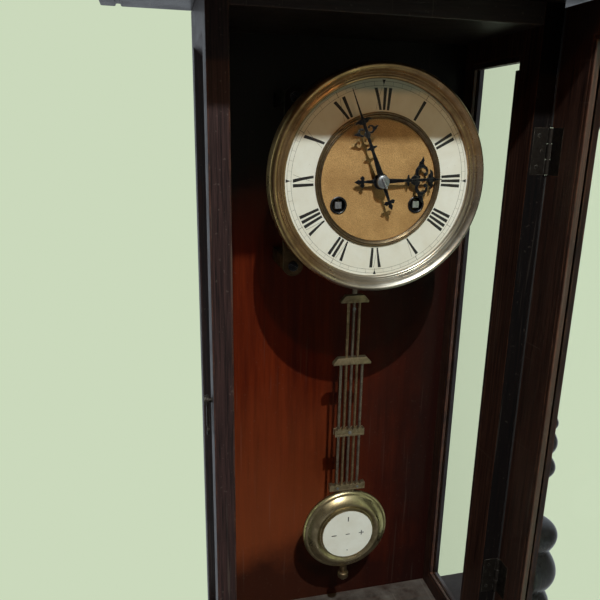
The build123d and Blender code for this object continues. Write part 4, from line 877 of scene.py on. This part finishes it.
def makeHand(node, shape):
    seat = dialSeat @ spin(-shape["turn"])
    low, high = dialSpan(node)
    hub = [roundOutline(0, 0, shape["hub"], 40), roundOutline(0, 0, shape["bore"], 24)]
    plates = [cutPlate(hub, low, high, seat, 0.14)]
    for index, outline in enumerate(handOutlines(shape)):
        trim = 0.006 * (index + 1)  # keeps the overlapping tops apart
        plates.append(cutPlate([outline], low + trim, high - trim, seat))
    place(node + "_pierced", gather(plates), "blackHand", node, (node,), 30.0)


for node, shape in handShapes.items():
    makeHand(node, shape)

nutShape = dict(
    long=9.4, lie=2.5, turn=28.0, start=-0.4,
    profile=[(0, 0), (5.0, 0), (5.0, 1.1), (4.8, 1.5), (4.4, 1.7), (4.1, 1.65), (3.8, 1.8), (2.4, 2.0), (0, 2.1)])


def makeNut(shape):
    seat = dialSeat @ shift(0, 0, dialSpan("hand_nut")[0])
    place("hand_nut_turned", turning(shape["profile"], seat), "nutSteel", "hand_nut", ("hand_nut",))
    long = shape["long"]
    laid = spin(shape["turn"]) @ spin(90, "X")
    across = seat @ shift(0, 0, shape["lie"]) @ laid @ shift(0, 0, shape["start"] * long)
    pin = turning([(0, 0), (0.4, 0.05), (0.55, 0.3), (0.9, long - 0.3), (0.7, long), (0, long)], across, 20)
    place("hand_pin", pin, "brightSteel", "hand_nut")


makeNut(nutShape)
print("hands placed")

# gong: one flat spiral of squarish wire, its inner end on the post
gongShape = dict(inner=7.75, step=12.0, turns=2.5, wide=1.2, deep=1.6, square=0.5, sides=12, count=200)


def makeGong(shape):
    centreX, _, centreZ = middle(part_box("gong_block"))
    centreY = middle(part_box("gong_coil"))[1]
    sides = shape["sides"]
    section = []
    for step in range(sides):
        turn = 2 * math.pi * step / sides
        section.append([math.copysign(abs(part) ** shape["square"], part) * reach for part, reach in
                        ((math.cos(turn), shape["wide"]), (math.sin(turn), shape["deep"]))])
    made = bmesh.new()
    rows = []
    for step in range(shape["count"] + 1):
        turn = 2 * math.pi * shape["turns"] * step / shape["count"]
        reach = shape["inner"] + shape["step"] * turn / (2 * math.pi)
        rows.append([made.verts.new(Vector((
            centreX + (reach + across) * mm * math.cos(turn), centreY + deep * mm,
            centreZ + (reach + across) * mm * math.sin(turn)))) for across, deep in section])
    for first, second in zip(rows, rows[1:]):
        for side in range(sides):
            beside = (side + 1) % sides
            made.faces.new((first[side], first[beside], second[beside], second[side]))
    made.faces.new(rows[0])
    made.faces.new(rows[-1])
    place("gong_spiral", fromBmesh(made), "gongSteel", "gong_coil", ("gong_coil",))


makeGong(gongShape)

# pendulum: round rods, barred grid, lenticular bob and its nut; heights in mm from the middle of the dial
rodY = middle(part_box("steel_rods"))[1]
gridShape = dict(
    pitch=5.1, radius=1.3, bars=(-107.0, -166.0, -238.0, -297.0), barHigh=6.8, widths=(26.0, 36.0, 28.0, 35.5),
    flares=(4.5, 4.5, 0.0, 0.0), deep=6.0, notch=1.5, line=(-2.9, -1.9), lineInset=0.8, lineProud=0.3,
    bobRod=2.0, bobRodLow=-405.0, threads=14, threadStep=0.9, threadRoot=(1.65, 0.35), threadCrest=0.8,
    screwRise=0.9, screws=((0, -116.5, 1.1, 1.5, 20), (0, -238.0, 3.0, 1.7, 35), (-10.0, -297.0, 2.9, 1.2, 70),
                           (10.0, -297.0, 2.9, 1.2, 10)),
    flutes=5, flutePitch=3.1, fluteLow=-301.6, flute=[(0, 0), (1.5, 0), (1.8, 0.6), (1.8, 2.4), (1.4, 3.0), (0, 3.0)])


def makeRods(shape):
    bars, half, thick = shape["bars"], shape["barHigh"] / 2, shape["bobRod"]
    spans = [(high - half, low + half) for high, low in zip(bars, bars[1:])]
    for node, finish, places in (("brass_rods", "rodBrass", (-1, 1)), ("steel_rods", "rodSteel", (-2, 0, 2))):
        rods = []
        for index, (high, low) in enumerate(spans):
            for along in places:
                if abs(along) < 2 or index:
                    foot = Matrix.Translation((bobX + along * shape["pitch"] * mm, rodY, dialZ + low * mm))
                    rods.append(turning([(shape["radius"], 0), (shape["radius"], high - low)], foot, 20))
        if node == "steel_rods":  # the bob's rod, threaded at its foot
            foot = Matrix.Translation((bobX, rodY, dialZ + shape["bobRodLow"] * mm))
            root, start = shape["threadRoot"]
            profile = [(thick, 0)]
            for turn in range(shape["threads"]):
                rise = turn * shape["threadStep"]
                profile += [(root, start + rise), (thick, shape["threadCrest"] + rise)]
            rods.append(turning(profile + [(thick, bars[3] - half - shape["bobRodLow"])], foot, 24))
        place(node + "_round", gather(rods), finish, node, (node,))


def barOutline(shape, index):
    wide = shape["widths"][index] / 2
    high = shape["barHigh"] / 2
    mid = shape["bars"][index]
    flare = shape["flares"][index]
    notch = shape["notch"]
    points = [(-wide, mid - high), (wide, mid - high), (wide, mid - high / 2), (wide - flare, mid + high)]
    if index > 1:  # saw notches between the rods
        for tooth in range(5, -1, -1):
            x = (tooth - 2.5) * shape["pitch"]
            points += [(x + notch, mid + high), (x, mid + high - notch), (x - notch, mid + high)]
    return points + [(-wide + flare, mid + high), (-wide, mid - high / 2)]


def makeBars(shape):
    seat = frontSeat(bobX, rodY, dialZ)
    half = shape["deep"] / 2
    bars = [cutPlate([barOutline(shape, index)], -half, half, seat, 0.35) for index in range(4)]
    for index in (2, 3):  # a raised moulding line along each lower bar
        wide = shape["widths"][index] / 2 - shape["lineInset"]
        low, high = (shape["bars"][index] + edge for edge in shape["line"])
        line = [(-wide, low), (wide, low), (wide, high), (-wide, high)]
        bars.append(cutPlate([line], 0, half + shape["lineProud"], seat, 0.2))
    place("grid_bars", gather(bars), "barBrass", "crossbars", ("crossbars",), 30.0)
    screws = []
    for x, z, lift, radius, turn in shape["screws"]:
        screws += slottedScrew(seat @ shift(x, z, lift), radius, shape["screwRise"], turn)
    place("grid_screws", gather(screws), "nutSteel", "crossbars", (), 30.0)
    collar = []
    for index in range(shape["flutes"]):  # fluted seat on the rim of the bob
        x = (index - (shape["flutes"] - 1) / 2) * shape["flutePitch"]
        collar.append(turning(shape["flute"], seat @ shift(x, shape["fluteLow"], 0) @ spin(90, "X"), 18))
    place("bob_collar", gather(collar), "barBrass", "crossbars", ())


# the marks are plain: a tick, a dash, a dot, and minus and plus, as x from and to and z from and to
bobShape = dict(
    sides=128, face=10.0, proud=0.05,
    marks=((-0.5, 0.5, 14.5, 19.5), (-2.2, 2.2, -0.4, 0.4), (-0.5, 0.5, -18.6, -17.6), (-16.5, -11.5, -0.4, 0.4),
           (11.5, 16.5, -0.4, 0.4), (13.6, 14.4, -2.5, 2.5)),
    profile=[
        (0, -6.0), (30.0, -6.0), (36.0, -5.4), (40.0, -3.8), (42.2, -1.9), (43.0, -0.4), (43.0, 0.8), (42.5, 2.3),
        (41.4, 3.5), (40.2, 4.1), (39.5, 4.2), (39.0, 4.6), (37.6, 6.0), (35.4, 7.7), (33.2, 9.0), (32.0, 9.4),
        (31.0, 9.4), (30.2, 9.0), (28.8, 8.0), (27.6, 7.3), (27.0, 7.4), (26.7, 8.8), (26.3, 9.9), (25.9, 9.95),
        (25.6, 9.5), (25.52, 8.85), (0, 8.85)])


def makeBob(shape):
    seat = frontSeat(bobX, rodY, bobZ)
    place("bob_turned", turning(shape["profile"], seat, shape["sides"]), "bobBrass", "bob_shell", ("bob_shell",))
    face = bmesh.new()
    for left, right, bottom, top in shape["marks"]:
        verts = [face.verts.new(seat @ Vector((x * mm, z * mm, rise * mm)))
                 for rise in (shape["face"], shape["face"] + shape["proud"])
                 for x, z in ((left, bottom), (right, bottom), (right, top), (left, top))]
        for index in range(4):
            beside = (index + 1) % 4
            face.faces.new((verts[index], verts[beside], verts[4 + beside], verts[4 + index]))
        face.faces.new(verts[4:])
    place("bob_marks", fromBmesh(face), "dialInk", "bob_disc", (), 20.0)


ratingShape = dict(knurls=24, dip=-0.3, top=(3.4, 2.05), profile=[
    (2.05, 0), (4.6, 0), (5.2, 0.5), (5.4, 1.4), (5.4, 4.6), (5.2, 5.5), (4.6, 6.0), (3.4, 6.2), (3.1, 7.0), (3.3, 7.8),
    (3.4, 8.0)])


def makeRatingNut(shape):
    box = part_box("rating_nut")
    tall = (box[1].z - box[0].z) / mm
    profile = shape["profile"] + [(radius, tall) for radius in shape["top"]]
    nut = turning(profile, Matrix.Translation((middle(box)[0], rodY, box[0].z)), 2 * shape["knurls"], True,
                  milling(2, 5, grow=shape["dip"]))
    place("rating_nut_turned", nut, "ringBronze", "rating_nut", ("rating_nut",), 40.0)


makeRods(gridShape)
makeBars(gridShape)
makeBob(bobShape)
makeRatingNut(ratingShape)
print("pendulum placed")


# turned wood: swells and domes are rings of (radius, rise from the last)
def swellRings(radius, edge, rise, parts=14):
    return [(edge + (radius - edge) * math.sin(math.pi * step / parts), rise / parts) for step in range(1, parts + 1)]


def domeRings(radius, edge, rise, parts=9):
    turns = [math.pi / 2 * step / parts for step in range(parts + 1)]
    return [(edge + (radius - edge) * math.cos(late), rise * (math.sin(late) - math.sin(early)))
            for early, late in zip(turns, turns[1:])]


def risen(rings):
    height = 0.0
    profile = []
    for radius, rise in rings:
        height += rise
        profile.append((radius, height))
    return profile


columnShape = dict(inset=19, lift=6.5, sides=56, rings=[
    (15.5, 0), (17, 1.2), (17, 12.6), (16, 0.2), (9, 1), *swellRings(15, 9, 28), (7.5, 1), (8.4, 7), (9, 8),
    (13.4, 0.4), (14, 0.6), *swellRings(21.3, 14, 24.2), *swellRings(23.8, 14, 43.0), *swellRings(20.7, 14, 33.6)[:7],
    *domeRings(20.7, 5, 12), (5, 42.8), *swellRings(11, 5, 23), *swellRings(10, 5, 24), *swellRings(8.5, 5, 14),
    (4.8, 122), (4.5, 110), *swellRings(8.5, 5, 20), *swellRings(12, 5.5, 18), (7, 4), (11, 6), (14.4, 0.5), (15, 0.5),
    (15, 10.4), (14, 0.6)])


def makeColumns(shape):
    columnLow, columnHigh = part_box("door_columns")
    stileLow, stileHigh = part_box("door_stiles")
    face = stileHigh.x
    inset = shape["inset"] * mm
    profile = risen(shape["rings"])
    grow = (columnHigh.z - columnLow.z) / mm / profile[-1][1]
    profile = [(radius, height * grow) for radius, height in profile]
    columns = []
    for y in (stileLow.y + inset, stileHigh.y - inset):
        foot = Matrix.Translation((face + shape["lift"] * mm, y, columnLow.z))
        columns.append(turning([(0, 0), *profile, (0, profile[-1][1])], foot, shape["sides"]))
    whole = gather(columns)
    for vertex in whole.vertices:  # the split turning lies flat on the stile
        vertex.co.x = max(vertex.co.x, face)
    place("door_columns_turned", whole, "turnedDark", "door_columns", ("door_columns",), 40.0)


finialShape = dict(
    inset=46.0, sides=48,
    urn=[(9.4, 0), (10, 0.8), (9.4, 1.6), (7.0, 3.2), (6.0, 3.4), (7.0, 1.0), *swellRings(15, 7, 24), (5, 1), (3.6, 6),
         (2.7, 7), (1.8, 7)],
    drop=[(1.6, 0), (3.6, 5), (6, 5), *swellRings(14, 6, 26), (9.5, 3), (11, 3), (11, 4.4), (10.4, 0.6)])


def makeFinials(shape):
    corniceLow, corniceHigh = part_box("cornice")
    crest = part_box("crest_board")
    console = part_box("base_console")
    inset = shape["inset"] * mm
    seats = [((x, corniceLow.y + inset, corniceHigh.z), "urn") for x in (corniceLow.x + inset, corniceHigh.x - inset)]
    seats.append(((*middle(crest)[:2], crest[1].z), "urn"))
    seats.append(((*middle(console)[:2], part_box("turned_finials")[0].z), "drop"))
    turned = []
    for seat, form in seats:
        profile = risen(shape[form])
        turned.append(turning([(0, 0), *profile, (0, profile[-1][1])], Matrix.Translation(seat), shape["sides"]))
    place("finials_turned", gather(turned), "turnedDark", "turned_finials", ("turned_finials",), 40.0)


makeColumns(columnShape)
makeFinials(finialShape)
print("turned wood placed")

# screw heads, and a near-black bead on the hinge side: painted shade that fills the gap
hingeShape = dict(
    plate=-124.95, leaf=36, screws=((12, 124.0), (0, 127.5), (-12, 124.0)), radius=1.7, rise=0.3,
    axis=(133.75, -125.25), sides=48, bead=((0.4, 0.1), (0.7, 0.3), (0.84, 0.8)))
lugShape = dict(across=(-58.5, 58.5), heights=(-74.0, 62.0), back=-38.5, radius=4.2, rise=2.0)
latchShape = dict(sink=0.1, radius=3.6, rise=0.8, turn=40)
outLeft = Matrix(((0, 0, -1, 0), (-1, 0, 0, 0), (0, 1, 0, 0), (0, 0, 0, 1)))


def makeHingeScrews(shape):
    low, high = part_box("case_hinges")
    heads = []
    for height in (high.z - shape["leaf"] / 2 * mm, low.z + shape["leaf"] / 2 * mm):
        for rise, x in shape["screws"]:
            seat = frontSeat(x * mm, shape["plate"] * mm, height + rise * mm)
            heads += slottedScrew(seat, shape["radius"], shape["rise"], 25 + 3 * rise)
    place("hinge_screws", gather(heads), "darkIron", "case_hinges", (), 30.0)


def makeHingeBead(shape):
    leafLow, leafHigh = (corner.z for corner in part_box("case_hinges"))
    doorLow, doorHigh = (corner.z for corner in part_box("door_stiles"))
    leaf = shape["leaf"] * mm
    beads = []
    for low, high in ((doorLow, leafLow), (leafLow + leaf, leafHigh - leaf), (leafHigh, doorHigh)):
        ends = [*shape["bead"], *((radius, (high - low) / mm - inset) for radius, inset in reversed(shape["bead"]))]
        foot = Matrix.Translation((*(part * mm for part in shape["axis"]), low))
        beads.append(turning(ends, foot, shape["sides"]))
    # painted shade: the near-black bead stands in for the shade in the gap between case and door
    place("hinge_bead", gather(beads), "dialInk", "right_side_frame", (), 40.0)


def makeLugScrews(shape):
    lugs = []
    for x in shape["across"]:
        for z in shape["heights"]:
            lugs += slottedScrew(dialSeat @ shift(x, z, shape["back"]), shape["radius"], shape["rise"], 30 + x)
    # painted shade: the screws take the near-black finish so that they sink into the dark round the dial
    place("bracket_screws", gather(lugs), "blackHand", "movement_bracket", (), 30.0)


def makeLatchScrew(shape):
    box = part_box("latch_screw")
    seat = Matrix.Translation((box[0].x + shape["sink"] * mm, *middle(box)[1:])) @ outLeft
    head = slottedScrew(seat, shape["radius"], shape["rise"], shape["turn"])
    place("latch_screw_head", gather(head), "darkIron", "latch_screw", (), 30.0)


makeHingeScrews(hingeShape)
makeHingeBead(hingeShape)
makeLugScrews(lugShape)
makeLatchScrew(latchShape)
print("screws placed")

# pale stage, lamps and camera; spans are heights and depths of direction
stageLook = dict(
    pale=(0.597, 0.694, 0.502), front=(0.031, 0.023, 0.015), behind=(0.5, 0.55, 0.6), roomHigh=(0.07, 0.06, 0.05),
    roomLow=(0.24, 0.24, 0.24), roomSpan=(-0.35, 0.25), behindSpan=(-0.1, 0.6), floor=-0.745, reach=12.0)
flagLook = dict(edge=26.0, before=240.0, left=-0.3, right=0.12, high=0.2, dark=(0.02, 0.02, 0.02))
lampLooks = {
    "key": dict(travel=(0.1, 1.0, -1.13), away=2.3, size=0.028, power=54.5, colour=(0.86, 0.985, 1.0)),
    "second": dict(travel=(0.13, 1.0, -0.88), away=2.3, size=0.1, power=8.0, colour=(1.0, 0.5, 0.17)),
}
# angles in degrees, place in metres, focal length and picture in pixels
cameraLook = dict(yaw=13.80, pitch=-15.54, roll=1.01, place=(-0.17188, -0.5568, -0.0591), focal=605.7, picture=600,
                  sensor=36.0, near=0.01)


def makeCard(name, corners, finish, hiddenFrom):
    mesh = bpy.data.meshes.new(name)
    mesh.from_pydata(corners, [], [(0, 1, 2, 3)])
    mesh.materials.append(finish)
    card = addObject(name, mesh)
    for sight in hiddenFrom:
        setattr(card, "visible_" + sight, False)
    return card


def makeStage(look):
    finish = newFinish("paleFloor", Base_Color=(0, 0, 0), Roughness=1.0, Specular_IOR_Level=0.0,
                       Emission_Color=look["pale"], Emission_Strength=1.0)[0]
    corners = [(x * look["reach"], y * look["reach"], 0) for x, y in ((-1, -1), (1, -1), (1, 1), (-1, 1))]
    floor = makeCard("floor", corners, finish, ("diffuse", "glossy", "shadow"))
    floor.location.z = look["floor"]
    world = bpy.data.worlds.new("studio")
    bpy.context.scene.world = world
    world.use_nodes = True
    tree = world.node_tree
    path = addNode(tree, "ShaderNodeLightPath").outputs
    seen = calc("MAXIMUM", path["Is Camera Ray"], path["Is Transmission Ray"])
    pale = addNode(tree, "ShaderNodeBackground", {"Color": look["pale"], "Strength": 1.0})
    toward = split(addNode(tree, "ShaderNodeTexCoord").outputs["Generated"])
    room = blend(span(toward["Z"], *look["roomSpan"]), look["roomLow"], look["roomHigh"])
    front = blend(path["Is Glossy Ray"], look["front"], room)
    around = blend(span(toward["Y"], *look["behindSpan"]), front, look["behind"])
    fill = follow("ShaderNodeBackground", {"Color": around, "Strength": 1.0})[0]
    both = follow("ShaderNodeMixShader", {0: seen, 1: fill, 2: pale.outputs[0]})[0]
    dress(tree.nodes["World Output"], Surface=both)


# a card out of view that shades the upper dial from the key lamp
def makeFlag(look, lamp):
    slope = -lamp["travel"][2] / lamp["travel"][1]
    low = dialZ + (look["edge"] + slope * look["before"]) * mm
    high = low + look["high"]
    y = dialY - look["before"] * mm
    corners = [(look["left"], y, low), (look["right"], y, low), (look["right"], y, high), (look["left"], y, high)]
    finish = newFinish("flagCard", Base_Color=look["dark"], Roughness=1.0)[0]
    flag = makeCard("flag", corners, finish, ("camera", "diffuse", "glossy", "transmission"))


def makeLamp(name, look):
    travel = Vector(look["travel"]).normalized()
    aim = Vector((dialX, dialY, dialZ))
    lamp = bpy.data.lights.new(name, "AREA")
    lamp.shape = "DISK"
    lamp.size = look["size"]
    lamp.energy = look["power"]
    lamp.color = look["colour"]
    turned = travel.to_track_quat("-Z", "Y").to_matrix().to_4x4()
    addObject(name, lamp).matrix_world = Matrix.Translation(aim - travel * look["away"]) @ turned


def makeCamera(look):
    yaw, pitch, roll = (math.radians(look[key]) for key in ("yaw", "pitch", "roll"))
    ahead = Vector((math.sin(yaw) * math.cos(pitch), math.cos(yaw) * math.cos(pitch), math.sin(pitch)))
    side = Vector((math.cos(yaw), -math.sin(yaw), 0))
    over = side.cross(ahead)
    right = side * math.cos(roll) + over * math.sin(roll)
    up = over * math.cos(roll) - side * math.sin(roll)
    lens = bpy.data.cameras.new("camera")
    lens.sensor_width = look["sensor"]
    lens.lens = look["focal"] / look["picture"] * look["sensor"]
    lens.clip_start = look["near"]
    camera = addObject("camera", lens)
    camera.matrix_world = Matrix.Translation(look["place"]) @ Matrix((right, up, -ahead)).transposed().to_4x4()
    bpy.context.scene.camera = camera


makeStage(stageLook)
for name, look in lampLooks.items():
    makeLamp(name, look)
makeFlag(flagLook, lampLooks["key"])
makeCamera(cameraLook)
bpy.context.scene.view_settings.view_transform = "Standard"
print("stage, light and camera set")

bpy.context.view_layer.update()
